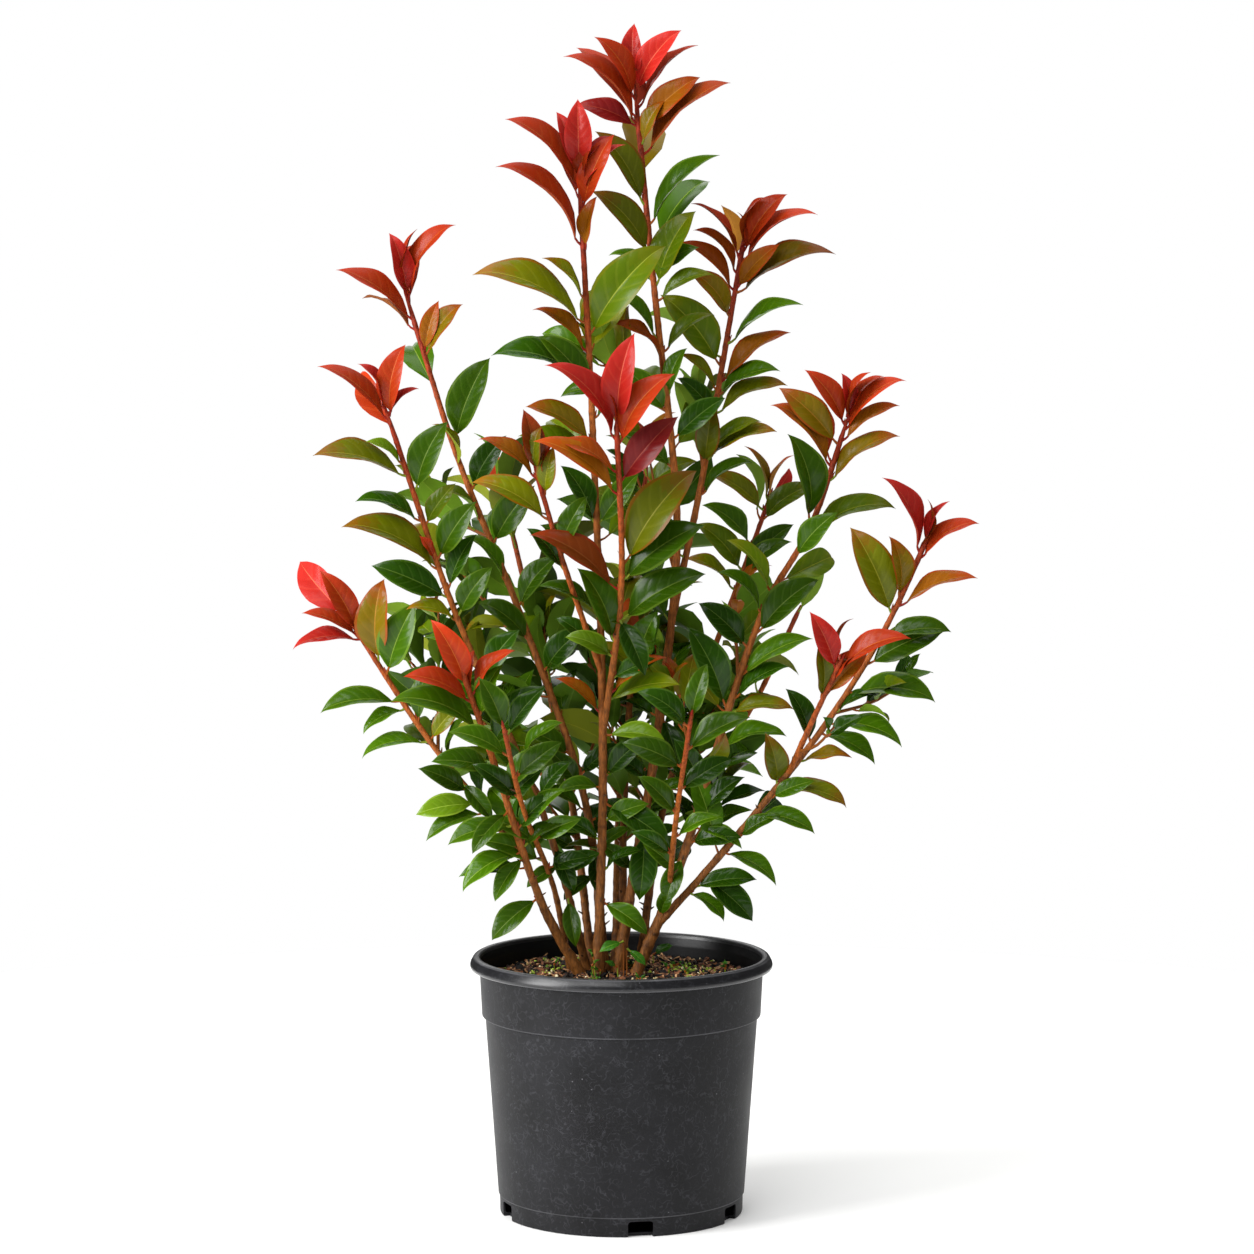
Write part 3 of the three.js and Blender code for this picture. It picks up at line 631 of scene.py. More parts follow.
def bark(old, middle, young):
    """Smooth bark. Brown and lightly cracked low down, turning chestnut and then red on young wood."""
    material, tree, shader = start_material("bark")
    place = add_node(tree, "ShaderNodeTexCoord").outputs["Object"]
    age = add_node(tree, "ShaderNodeAttribute", attribute_name="age").outputs["Fac"]
    ramp = add_node(tree, "ShaderNodeValToRGB", {"Fac": age})
    ramp.color_ramp.elements.new(0.5)
    for element, position, colour in zip(ramp.color_ramp.elements, (0.0, 0.5, 1.0), (old, middle, young)):
        element.position = position
        element.color = linear(colour)
    stretched = add_node(tree, "ShaderNodeMapping", {"Vector": place})
    stretched.inputs["Scale"].default_value = (1.0, 1.0, 0.3)
    fibre = add_node(tree, "ShaderNodeTexNoise", {
        "Vector": stretched.outputs[0], "Scale": 420.0, "Detail": 6.0, "Roughness": 0.65})
    mottle = add_node(tree, "ShaderNodeMapRange", {
        "Value": fibre.outputs["Fac"], "From Min": 0.32, "From Max": 0.68, "To Min": 0.45, "To Max": 1.5})
    toned = add_node(tree, "ShaderNodeMix", {0: 1.0, 6: ramp.outputs["Color"]},
                     data_type="RGBA", blend_type="MULTIPLY")
    tree.links.new(mottle.outputs[0], toned.inputs[7])
    scar = add_node(tree, "ShaderNodeAttribute", attribute_name="scar").outputs["Fac"]
    scarred = add_node(tree, "ShaderNodeMix", {0: scar, 6: toned.outputs[2], 7: linear(SCAR_BROWN)},
                       data_type="RGBA")
    tree.links.new(scarred.outputs[2], shader.inputs["Base Color"])
    shader.inputs["Roughness"].default_value = 0.5
    shader.inputs["Specular IOR Level"].default_value = 0.16
    bump = add_node(tree, "ShaderNodeBump", {
        "Height": fibre.outputs["Fac"], "Strength": 0.7, "Distance": 0.0016})
    tree.links.new(bump.outputs["Normal"], shader.inputs["Normal"])
    return material


def plain_growth(name, colour, roughness, coat=0.0, tone=1.0, specular=0.13):
    """Soft growth of one even colour. Its waxy skin gives a broken, local gloss rather than a mirror."""
    material, _, shader = start_material(name)
    shader.inputs["Base Color"].default_value = [*(part * tone for part in linear(colour)[:3]), 1.0]
    shader.inputs["Specular IOR Level"].default_value = specular
    shader.inputs["Roughness"].default_value = roughness
    shader.inputs["Coat Weight"].default_value = coat
    shader.inputs["Coat Roughness"].default_value = 0.17
    return material


def litter_material(name, dark, light, scale, roughness=0.8):
    """Composted bark, grit or moss. Dull and broken in tone from piece to piece, as damp litter is."""
    material, tree, shader = start_material(name)
    place = add_node(tree, "ShaderNodeTexCoord").outputs["Object"]
    noise = add_node(tree, "ShaderNodeTexNoise", {"Vector": place, "Scale": scale, "Detail": 4.0})
    ramp = add_node(tree, "ShaderNodeValToRGB", {"Fac": noise.outputs["Fac"]})
    ramp.color_ramp.elements[0].position, ramp.color_ramp.elements[1].position = 0.42, 0.63
    ramp.color_ramp.elements[0].color = linear(dark)
    ramp.color_ramp.elements[1].color = linear(light)
    tree.links.new(ramp.outputs["Color"], shader.inputs["Base Color"])
    shader.inputs["Roughness"].default_value = roughness
    bump = add_node(tree, "ShaderNodeBump", {
        "Height": noise.outputs["Fac"], "Strength": 0.4, "Distance": 0.0006})
    tree.links.new(bump.outputs["Normal"], shader.inputs["Normal"])
    return material


# ---------------------------------------------------------------- pot


POT_SIDES = 160
POT_SHARP_DEG = 38
RIM_TUCK = 1
ROUND_STEPS = 5


def rounded(corner, toward, away, radius):
    """An arc of points that rounds an outline's corner."""
    corner, toward, away = (np.array(p, float) for p in (corner, toward, away))
    start = corner + unit(toward - corner) * radius
    end = corner + unit(away - corner) * radius
    shares = np.linspace(0, 1, ROUND_STEPS)[:, None]
    return list((1 - shares) ** 2 * start + 2 * shares * (1 - shares) * corner + shares**2 * end)


def pot_outline():
    """The pot's section, from the middle of its underside round the outside and the rim to its inside floor.

    Each corner has the radius that rounds it.
    """
    wall_top = POT_HEIGHT - RIM_HEIGHT
    lip = RIM_RADIUS - RIM_TUCK
    corners = [
        ((FOOT_RADIUS - FOOT_DRAFT, 0), 1.6),
        ((FOOT_RADIUS, SEAM_HEIGHT), 0.5),
        ((FOOT_RADIUS + SEAM_STEP, SEAM_HEIGHT + 1), 0.5),
        ((LEDGE_RADIUS - LEDGE_STEP, LEDGE_HEIGHT), 0.4),
        ((LEDGE_RADIUS, LEDGE_HEIGHT + LEDGE_RISE), 1.0),
        ((UNDER_RIM_RADIUS, wall_top), 0.8),
        ((lip, wall_top), 1.2),
        ((RIM_RADIUS, wall_top + 2.0), 1.0),
        ((RIM_RADIUS, wall_top + RIM_FACE), 2.0),
        ((RIM_RADIUS - RIM_SLOPE, POT_HEIGHT), 2.2),
        ((MOUTH_RADIUS, POT_HEIGHT), 2.2),
        ((UNDER_RIM_RADIUS - WALL, wall_top), 1.0),
        ((LEDGE_RADIUS - WALL, LEDGE_HEIGHT + LEDGE_RISE), 1.0),
        ((LEDGE_RADIUS - LEDGE_STEP - WALL, LEDGE_HEIGHT - LEDGE_RISE), 0.6),
        ((FOOT_RADIUS - WALL, FLOOR), 2.0),
    ]
    places = [(0, 0), *(place for place, _ in corners), (0, FLOOR)]
    outline = [places[0]]
    for (corner, radius), toward, away in zip(corners, places, places[2:]):
        outline += rounded(corner, toward, away, radius)
    return np.array([*outline, places[-1]])


def turned(outline, sides):
    """A closed shape turned round the upright axis, with its first and last point on that axis."""
    angles = angles_round(sides)
    inner = outline[1:-1]
    rings = [np.stack([r * np.cos(angles), r * np.sin(angles), np.full(sides, z)], -1) for r, z in inner]
    points = np.concatenate([*rings, [(0, 0, outline[0][1])], [(0, 0, outline[-1][1])]])
    low, high = len(points) - 2, len(points) - 1
    faces = band_faces(len(inner), sides)
    last = (len(inner) - 1) * sides
    for k in range(sides):
        faces.append(((k + 1) % sides, k, low))
        faces.append((last + k, last + (k + 1) % sides, high))
    return points, faces


def slot_cutters():
    """The drainage slots at the foot: one block for each, with rounded upper corners."""
    heap = Heap()
    half, corner = SLOT_WIDTH / 2, SLOT_CORNER
    rise = [(0, corner), (corner * 0.3, corner * 0.3), (corner, 0)]
    right = [(half - inward, SLOT_HEIGHT - down) for inward, down in rise]
    left = [(-x, z) for x, z in right[::-1]]
    arch = [(-half, SLOT_FOOT), (half, SLOT_FOOT), *right, *left]
    count = len(arch)
    for angle in SLOT_ANGLES:
        turn = math.radians(angle)
        points = []
        for depth in (-FOOT_RADIUS - SLOT_DEPTH / 2, -FOOT_RADIUS + SLOT_DEPTH / 2):
            for x, z in arch:
                points.append((x * math.cos(turn) - depth * math.sin(turn),
                               x * math.sin(turn) + depth * math.cos(turn), z))
        faces = [(k, k + count, (k + 1) % count + count, (k + 1) % count) for k in range(count)]
        faces += [tuple(range(count)), tuple(range(count, 2 * count))[::-1]]
        heap.add(np.array(points), faces, 0)
    return heap


def build_pot(settings):
    """The nursery pot: turned body, rolled rim, ledge, foot seam and drainage slots."""
    plastic = pot_plastic(settings.colour, settings.scuff)
    points, faces = turned(pot_outline(), POT_SIDES)
    body = bpy.data.objects.new("pot_body", make_mesh("pot_body", points, faces, [plastic]))
    cutter = bpy.data.objects.new("slot_cutter", slot_cutters().mesh("slot_cutter", [plastic]))
    for thing in (body, cutter):
        bpy.context.collection.objects.link(thing)
    cut = body.modifiers.new("slots", "BOOLEAN")
    cut.object, cut.operation, cut.solver = cutter, "DIFFERENCE", "EXACT"
    shape = bpy.data.meshes.new_from_object(body.evaluated_get(bpy.context.evaluated_depsgraph_get()))
    for thing in (body, cutter):
        bpy.data.objects.remove(thing)
    shape.set_sharp_from_angle(angle=math.radians(POT_SHARP_DEG))
    return add_piece("nursery_pot", shape, ["pot"])


# ---------------------------------------------------------------- compost


# The compost's surface, a little below its level: how far it falls toward the wall and from what share of the
# way out, the room it leaves there, its depth, and its lumps' height, wave lengths and share of the way out.
BED_RINGS = 60
BED_SIDES = 180
BED_TOP = COMPOST_LEVEL - 1.2
BED_FALL = 4
BED_FALL_START = 0.42
BED_CLEAR = 0.3
BED_DEPTH = 10
LUMP_HEIGHT = 0.9
LUMP_WAVES = (38, 17, 9, 5)
WAVES_EACH = 3
LUMPS_END = 0.93
# Its dark and light colour, the scale of its grain and its roughness.
PEAT = ("#040202", "#140c07", 300.0, 0.9)


def lumps(x, y, waves, rng):
    """A soft uneven height from a sum of waves of the given lengths, each about one high."""
    height = np.zeros_like(x)
    for length in waves:
        for _ in range(WAVES_EACH):
            way = rng.uniform(0, TURN)
            height += np.sin((x * math.cos(way) + y * math.sin(way)) * TURN / length
                             + rng.uniform(0, TURN)) / WAVES_EACH
    return height


def inside_radius(z):
    """The pot's inside radius at a height."""
    share = (z - LEDGE_HEIGHT) / (POT_HEIGHT - RIM_HEIGHT - LEDGE_HEIGHT)
    return LEDGE_RADIUS - WALL + (UNDER_RIM_RADIUS - LEDGE_RADIUS) * share


def build_bed(settings):
    """The compost's own surface: a shallow uneven plug that meets the pot's wall."""
    rng = np.random.default_rng(settings.seed)
    edge = inside_radius(COMPOST_LEVEL - BED_FALL) - BED_CLEAR
    radii = edge * (np.arange(BED_RINGS + 1) / BED_RINGS)
    r, a = np.meshgrid(radii[1:], angles_round(BED_SIDES), indexing="ij")
    x, y = r * np.cos(a), r * np.sin(a)
    z = BED_TOP - BED_FALL * smooth_step(BED_FALL_START, 1, r / edge)
    z = z + LUMP_HEIGHT * lumps(x, y, LUMP_WAVES, rng) * smooth_step(1, LUMPS_END, r / edge)
    points = np.concatenate([np.stack([x, y, z], -1).reshape(-1, 3), [(0, 0, BED_TOP)]])
    faces = [(a, d, c, b) for a, b, c, d in band_faces(BED_RINGS, BED_SIDES)]
    centre = len(points) - 1
    faces += [(k, (k + 1) % BED_SIDES, centre) for k in range(BED_SIDES)]
    last = (BED_RINGS - 1) * BED_SIDES
    under = points[last:last + BED_SIDES] - [0, 0, BED_DEPTH]
    points = np.concatenate([points, under])
    low = len(points) - BED_SIDES
    for k in range(BED_SIDES):
        following = (k + 1) % BED_SIDES
        faces.append((last + k, low + k, low + following, last + following))
    faces.append(tuple(range(low, low + BED_SIDES))[::-1])
    peat = litter_material("dark_peat", *PEAT)
    mesh = make_mesh("compost_bed", points, faces, [peat])
    return add_piece("compost_bed", mesh, ["compost"])


LITTER_SOCKETS = (
    ("Geometry", "Geometry"), ("Density", "Float"), ("Seed", "Int"), ("Smallest", "Vector"),
    ("Largest", "Vector"), ("Tilt", "Float"), ("Lift", "Float"), ("Roughness", "Float"), ("Reach", "Float"),
    ("Clumping", "Float"), ("Finish", "Material"),
)
HALF_TURN = 3.1416
# The seeds of each piece's turn and size, and the scales of the noises that clump and roughen the pieces.
SPIN_SEED = 11
SIZE_SEED = 12
CLUMP_SCALE = 38.0
ROUGH_SCALE = 330.0


def litter_tree(name, shape):
    """A node tree that strews small pieces over a surface, turns and sizes each by chance and roughens it."""
    tree = bpy.data.node_groups.new(name, "GeometryNodeTree")
    for socket, kind in LITTER_SOCKETS:
        tree.interface.new_socket(socket, in_out="INPUT", socket_type="NodeSocket" + kind)
    tree.interface.new_socket("Geometry", in_out="OUTPUT", socket_type="NodeSocketGeometry")
    given = add_node(tree, "NodeGroupInput").outputs
    upward = add_node(tree, "GeometryNodeInputNormal")
    steep = add_node(tree, "ShaderNodeSeparateXYZ", {0: upward.outputs[0]})
    on_top = add_node(tree, "FunctionNodeCompare", {0: steep.outputs["Z"], 1: 0.5}, operation="GREATER_THAN")
    spot = add_node(tree, "GeometryNodeInputPosition")
    level = add_node(tree, "ShaderNodeVectorMath", {0: spot.outputs[0], 1: (1, 1, 0)}, operation="MULTIPLY")
    out = add_node(tree, "ShaderNodeVectorMath", {0: level.outputs[0]}, operation="LENGTH")
    inside = add_node(tree, "FunctionNodeCompare", {0: out.outputs["Value"], 1: given["Reach"]},
                      operation="LESS_THAN")
    allowed = add_node(tree, "FunctionNodeBooleanMath", {0: on_top.outputs[0], 1: inside.outputs[0]},
                       operation="AND")
    patches = add_node(tree, "ShaderNodeTexNoise", {
        "Vector": spot.outputs[0], "Scale": CLUMP_SCALE, "Detail": 1.0})
    clumped = add_node(tree, "FunctionNodeCompare", {0: patches.outputs["Fac"], 1: given["Clumping"]},
                       operation="GREATER_THAN")
    allowed = add_node(tree, "FunctionNodeBooleanMath", {0: allowed.outputs[0], 1: clumped.outputs[0]},
                       operation="AND")
    spots = add_node(tree, "GeometryNodeDistributePointsOnFaces", {
        "Mesh": given["Geometry"], "Selection": allowed.outputs[0], "Density": given["Density"],
        "Seed": given["Seed"]})
    if shape == "block":
        source = add_node(tree, "GeometryNodeMeshCube", {
            "Size": (1, 1, 1), "Vertices X": 4, "Vertices Y": 3, "Vertices Z": 2})
    else:
        source = add_node(tree, "GeometryNodeMeshIcoSphere", {"Radius": 0.5, "Subdivisions": 2})
    spin_low = add_node(tree, "ShaderNodeMath", {0: given["Tilt"], 1: -1.0}, operation="MULTIPLY")
    low = add_node(tree, "ShaderNodeCombineXYZ", {
        "X": spin_low.outputs[0], "Y": spin_low.outputs[0], "Z": -HALF_TURN})
    high = add_node(tree, "ShaderNodeCombineXYZ", {"X": given["Tilt"], "Y": given["Tilt"], "Z": HALF_TURN})
    spin = add_node(tree, "FunctionNodeRandomValue", {
        0: low.outputs[0], 1: high.outputs[0], "Seed": SPIN_SEED}, data_type="FLOAT_VECTOR")
    size = add_node(tree, "FunctionNodeRandomValue", {
        0: given["Smallest"], 1: given["Largest"], "Seed": SIZE_SEED}, data_type="FLOAT_VECTOR")
    laid = add_node(tree, "GeometryNodeInstanceOnPoints", {
        "Points": spots.outputs["Points"], "Instance": source.outputs["Mesh"],
        "Rotation": spin.outputs[0], "Scale": size.outputs[0]})
    real = add_node(tree, "GeometryNodeRealizeInstances", {0: laid.outputs[0]})
    place = add_node(tree, "GeometryNodeInputPosition")
    noise = add_node(tree, "ShaderNodeTexNoise", {
        "Vector": place.outputs[0], "Scale": ROUGH_SCALE, "Detail": 2.0})
    centred = add_node(tree, "ShaderNodeVectorMath", {0: noise.outputs["Color"], 1: (0.5, 0.5, 0.5)},
                       operation="SUBTRACT")
    rough = add_node(tree, "ShaderNodeVectorMath", {0: centred.outputs[0], "Scale": given["Roughness"]},
                     operation="SCALE")
    rise = add_node(tree, "ShaderNodeCombineXYZ", {"Z": given["Lift"]})
    shift = add_node(tree, "ShaderNodeVectorMath", {0: rough.outputs[0], 1: rise.outputs[0]}, operation="ADD")
    moved = add_node(tree, "GeometryNodeSetPosition", {0: real.outputs[0], "Offset": shift.outputs[0]})
    finished = add_node(tree, "GeometryNodeSetMaterial", {0: moved.outputs[0], "Material": given["Finish"]})
    add_node(tree, "NodeGroupOutput", {0: finished.outputs[0]})
    return tree


# The room that litter leaves at the wall, the scale of its grain, and the angle past which an edge is sharp.
LITTER_CLEAR = 7
LITTER_GRAIN = 240.0
LITTER_SHARP_DEG = 40

# Each kind of litter: its shape, pieces on a square metre, smallest and largest size, tilt, lift, roughening,
# how clumped it lies (0 evenly, 0.54 in clumps), and its dark and light colour.
LITTER = {
    "bark_chips": ("block", 8000, (5, 2.4, 1.2), (17, 6, 2.8), 0.5, 0.8, 3.0, 0.0, "#160b05", "#8c5430"),
    "dark_chips": ("block", 12000, (4, 2, 1), (13, 5, 2.4), 0.7, 0.6, 3.0, 0.0, "#040202", "#1c1009"),
    "bark_crumbs": ("ball", 15000, (1.8, 1.4, 1.2), (5, 4, 3), 1.5, 0.5, 1.6, 0.0, "#080402", "#64402a"),
    "rusty_fibres": ("block", 5500, (7, 0.8, 0.7), (22, 1.5, 1.2), 0.5, 1.8, 3.4, 0.0, "#6e4020", "#d4a474"),
    "pale_grit": ("ball", 9000, (1.4, 1.4, 1.2), (4, 3.4, 3), 1.5, 1.6, 1.0, 0.45, "#a48e56", "#f4e6c0"),
    "moss": ("ball", 15000, (1.6, 1.6, 1.4), (4.6, 4, 3.4), 0.6, 2.0, 2.6, 0.54, "#4a640a", "#b6c840"),
}


def build_litter(bed, settings):
    """Bark chips, crumbs, fibres, grit and moss strewn over the compost, each kind a piece of its own."""
    for number, (name, kind) in enumerate(LITTER.items()):
        shape, density, least, most, tilt, lift, rough, clumping, dark, light = kind
        tree = litter_tree(name, shape)
        finish = litter_material(name, dark, light, LITTER_GRAIN)
        carrier = bpy.data.objects.new(name, bed.data.copy())
        bpy.context.collection.objects.link(carrier)
        strew = carrier.modifiers.new(name, "NODES")
        strew.node_group = tree
        values = {
            "Density": float(density), "Seed": settings.seed + number, "Smallest": [v * MM for v in least],
            "Largest": [v * MM for v in most], "Tilt": tilt, "Lift": lift * MM, "Roughness": rough * MM,
            "Clumping": clumping, "Finish": finish,
            "Reach": (inside_radius(COMPOST_LEVEL - BED_FALL) - LITTER_CLEAR) * MM,
        }
        for item in tree.interface.items_tree:
            if item.in_out == "INPUT" and item.name in values:
                strew[item.identifier] = values[item.name]
        mesh = bpy.data.meshes.new_from_object(carrier.evaluated_get(bpy.context.evaluated_depsgraph_get()))
        bpy.data.objects.remove(carrier)
        mesh.set_sharp_from_angle(angle=math.radians(LITTER_SHARP_DEG))
        add_piece(name, mesh, ["compost"])


# ---------------------------------------------------------------- limbs


RING_STEP = 2.6
LIMB_SIDES = 14
# A leaf node: how far it is from the next, its length, how much it swells the limb, and its scar just below.
NODE_GAP = 17
NODE_LENGTH = 2.2
NODE_RISE = 0.11
SCAR_BELOW = 2.2
SCAR_LENGTH = 1.3
SCAR_SHADE = 0.9
# Uneven bark: each wave's length along the limb, its turns round it, and its height as a share of the radius.
# Old wood, near a stem's foot, has more of it, and dark rings.
BARK_WAVES = ((31, 1, 0.045), (13, 2, 0.03), (6, 3, 0.022))
OLD_WOOD = 170
OLD_WAVES = 1.3
RING_DARK = 0.5
RING_RISE = 0.05
GRAIN_RISE = 0.08
# The bark's age, from 0 at the foot to 1 on young wood: the height and the length of shoot that tell it.
TALL = 700
YOUNG_LENGTH = 260
AGE_BY_HEIGHT = 0.5
AGE_BY_YOUTH = 0.72


def build_limb(name, material, seed):
    """One stem or bough with its taper, its swollen leaf nodes, its scars and its uneven bark."""
    rng = np.random.default_rng(seed)
    route = ROUTES[name]
    count = int(route.length / RING_STEP)
    shares = np.linspace(0, 1, count + 1)
    along = shares * route.length
    radius = limb_radius(name, shares)
    nodes = np.cumsum(rng.uniform(0.7, 1.3, int(route.length / NODE_GAP) + 1) * NODE_GAP)
    sides_of = np.arange(len(nodes)) * GOLDEN_ANGLE
    angles = angles_round(LIMB_SIDES)
    swell = np.zeros((count + 1, LIMB_SIDES))
    scar = np.zeros((count + 1, LIMB_SIDES))
    for node, side in zip(nodes, sides_of):
        near = np.exp(-((along - node) / NODE_LENGTH) ** 2)[:, None]
        facing = 0.45 + 0.55 * (0.5 + 0.5 * np.cos(angles - side))
        swell += near * facing * NODE_RISE
        under = np.exp(-((along - node + SCAR_BELOW) / SCAR_LENGTH) ** 2)[:, None]
        scar += under * facing * rng.uniform(0.15, 0.6)
    old = smooth_step(OLD_WOOD, 0, along)[:, None] if "foot" in LIMBS[name] else 0
    far = along[:, None]
    wobble = sum(np.sin(far / length + angles * turn + rng.uniform(0, 6.3)) * size
                 for length, turn, size in BARK_WAVES)
    rings = np.sin(far / 1.9 + 2.8 * np.sin(far / 9) + 1.3 * np.sin(angles + far / 26))
    patchy = smooth_step(-0.4, 0.9, np.sin(far / 7.3 + 2 * np.sin(angles)))
    scar += RING_DARK * old * patchy * smooth_step(0.3, 1, rings)
    radii = radius[:, None] * (1 + swell + wobble * (1 + OLD_WAVES * old) + RING_RISE * old * rings)
    radii = radii + rng.uniform(-GRAIN_RISE, GRAIN_RISE, swell.shape) * (1 + old)
    points, faces = tube(route, radii, shares, LIMB_SIDES)
    mesh = make_mesh(name, points, faces, [material])
    tall = np.clip((route.at(shares)[:, 2] - COMPOST_LEVEL) / TALL, 0, 1)
    young = np.clip(1 - (1 - shares) * route.length / YOUNG_LENGTH, 0, 1)
    age = np.clip(AGE_BY_HEIGHT * tall + AGE_BY_YOUTH * young, 0, 1)
    for key, values in (("age", np.repeat(age, LIMB_SIDES)), ("scar", scar.ravel() * SCAR_SHADE)):
        mesh.attributes.new(key, "FLOAT", "POINT").data.foreach_set("value", np.clip(values, 0, 1))
    kind = "bough_" if "parent" in LIMBS[name] else "stem_"
    return add_piece(kind + name + "_bark", mesh, [kind + name])


# ---------------------------------------------------------------- leaves


# A leaf's outline: the powers that shape its base and its tip, and where and how much its point is drawn in.
WIDEST = 1.02
TIP_BLUNT = 1.2
POINT_START = 0.84
POINT_DRAW = 0.15
# Its parts: how far its side veins lean, its midrib's half width and its margin's start as shares of its half
# width, the shares of its length past which it takes on more and more of its tip's colour, and how much
# sooner that starts at its edge.
VEIN_SLANT = 1.15
RIB_SHARE = 0.03
MARGIN_START = 0.92
BLUSH_STARTS = (0.62, 0.74, 0.84)
BLUSH_BOW = 0.1


def half_width(t):
    """A leaf's half width along its length: a wedge at the base, widest midway, a drawn-out point."""
    peak = WIDEST / (WIDEST + TIP_BLUNT)
    full = peak**WIDEST * (1 - peak) ** TIP_BLUNT
    shape = np.clip(t, 0, 1) ** WIDEST * np.clip(1 - t, 0, 1) ** TIP_BLUNT / full
    return shape * (1 - POINT_DRAW * smooth_step(POINT_START, 0.99, t))


# The parts of a leaf, each with its own finish.
BLADE, MARGIN, RIB, VEIN, UNDER, KEEL, BLUSH = range(7)
PARTS = BLUSH + len(BLUSH_STARTS)


def leaf_grid(veins, half, marked):
    """The rows and columns of a leaf's mesh, with its faces and the part of the leaf that each face shows.

    half is the columns on one side of the midrib. A marked leaf shows its veins, and its edge if it has a
    column narrow enough for that.
    """
    per_vein = 3 if marked else 2
    columns = [-u for u in half[::-1]] + [-RIB_SHARE, RIB_SHARE] + half
    rows = veins * per_vein + 1
    beat = (0, 0.22, 0.62) if marked else (0, 0.5)
    t = [(k // per_vein + beat[k % per_vein]) / (veins + 0.15) for k in range(rows)] + [1.0]
    lift = [(0, 0, 1)[k % 3] if marked else k % 2 for k in range(rows)] + [0]
    wide, count = len(columns), len(t)
    middle = (wide - 1) // 2
    low = count * wide
    faces, parts = [], []
    for i in range(count - 1):
        for j in range(wide - 1):
            a = i * wide + j
            faces.append((a, a + wide, a + wide + 1, a + 1))
            reach = abs(columns[j] + columns[j + 1]) / 2
            blush = sum(t[i] > start - BLUSH_BOW * reach for start in BLUSH_STARTS)
            is_vein = marked and i % per_vein == 0 and 0 < i < count - 4 and not blush
            body = BLUSH + blush - 1 if blush else VEIN if is_vein else BLADE
            parts.append(RIB if j == middle else MARGIN if reach > MARGIN_START else body)
        a, k = i * wide, low + 2 * i
        faces += [(a, k, k + 2, a + wide), (k, k + 1, k + 3, k + 2),
                  (k + 1, a + wide - 1, a + 2 * wide - 1, k + 3)]
        parts += [UNDER, KEEL, UNDER]
    end = low + 2 * (count - 1)
    faces.append((*range(wide), low + 1, low))
    faces.append((end, end + 1, *range(low - 1, low - wide - 1, -1)))
    parts += [UNDER, UNDER]
    return np.array(t), np.array(lift), np.array(columns), faces, parts


FINE_LEAF = leaf_grid(7, [0.26, 0.56, 0.86, 1], True)
NEAR_LEAF = leaf_grid(5, [0.3, 0.68, 1], True)
PLAIN_LEAF = leaf_grid(4, [0.55, 1], False)
# Leaves in front of this depth have the finer mesh.
NEAR_DEPTH = 15
# Half widths at a leaf's base and tip, its thickness and how much more it has at its base, in millimetres.
PETIOLE_HALF = 0.8
TIP_HALF = 0.1
BLADE_THICK = 0.3
BASE_THICKER = 0.7
# How high it is quilted between its veins, how often its edge waves, and how far its fold eases out sideways
# and toward its tip. Its arch is summed up in steps, and turns back past the share where its tip starts.
QUILT = 0.8
RIPPLES = 1.6
EASE_OUT = 0.7
UNFOLD = 0.4
ARCH_STEPS = 40
TIP_START = 0.8
TIP_TURN = 0.4


def leaf_points(grid, base, chord, face, length, width, fold, arch, sway, wave, phase):
    """The points of one leaf: folded along its midrib, arched over, quilted between its veins and wavy.

    chord points from its base to its tip and face out of its upper side. fold and arch are in radians. The
    quilting only rises, so that the flat underside never shows through.
    """
    t, lift, columns, _, _ = grid
    side = np.cross(face, chord)
    u = np.abs(columns)[None, :]
    shift = VEIN_SLANT * (width / 2 / length) * half_width(t)[:, None] * u**1.2 * (1 - t[:, None] ** 2)
    along = np.minimum(t[:, None] + shift, 0.4 + 0.6 * t[:, None])
    wide = np.maximum(half_width(along) * width / 2, PETIOLE_HALF * (1 - along) ** 6 + TIP_HALF)
    steps = np.linspace(0, 1, ARCH_STEPS + 1)
    tilt = arch * (0.5 - steps - TIP_TURN * np.maximum(steps - TIP_START, 0) / 0.2)
    run = np.concatenate([[0], np.cumsum(np.cos((tilt[1:] + tilt[:-1]) / 2))]) / ARCH_STEPS
    rise = np.concatenate([[0], np.cumsum(np.sin((tilt[1:] + tilt[:-1]) / 2))]) / ARCH_STEPS
    forward = np.interp(along, steps, run) * length / run[-1]
    up = np.interp(along, steps, rise) * length / run[-1]
    bend = np.interp(along, steps, tilt)
    hold = fold * (1 - UNFOLD * smooth_step(0.5, 1, along))
    spread = (np.sin(hold) - np.sin(hold * (1 - EASE_OUT * u))) / (hold * EASE_OUT)
    height = (np.cos(hold * (1 - EASE_OUT * u)) - np.cos(hold)) / (hold * EASE_OUT) * wide
    height = height + QUILT * lift[:, None] * np.sin(math.pi * np.clip(u, 0, 1)) * half_width(along)
    ripple = np.sin(TURN * (RIPPLES * along + phase) + columns[None, :])
    height = height + wave * u**2 * ripple * half_width(along)
    sideways = np.sign(columns)[None, :] * spread * wide + sway * length * along**2
    up = up + height * np.cos(bend)
    forward = forward - height * np.sin(bend)
    top = base + forward[..., None] * chord + sideways[..., None] * side + up[..., None] * face
    middle = (len(columns) - 1) // 2
    keel = top[:, middle:middle + 2] - face * (BLADE_THICK + BASE_THICKER * (1 - t[:, None, None]))
    return np.concatenate([top.reshape(-1, 3), keel.reshape(-1, 3)])


TWIG, GREEN_STALK, RED_STALK, BROWN_STALK, BUD, SNAG = range(6)
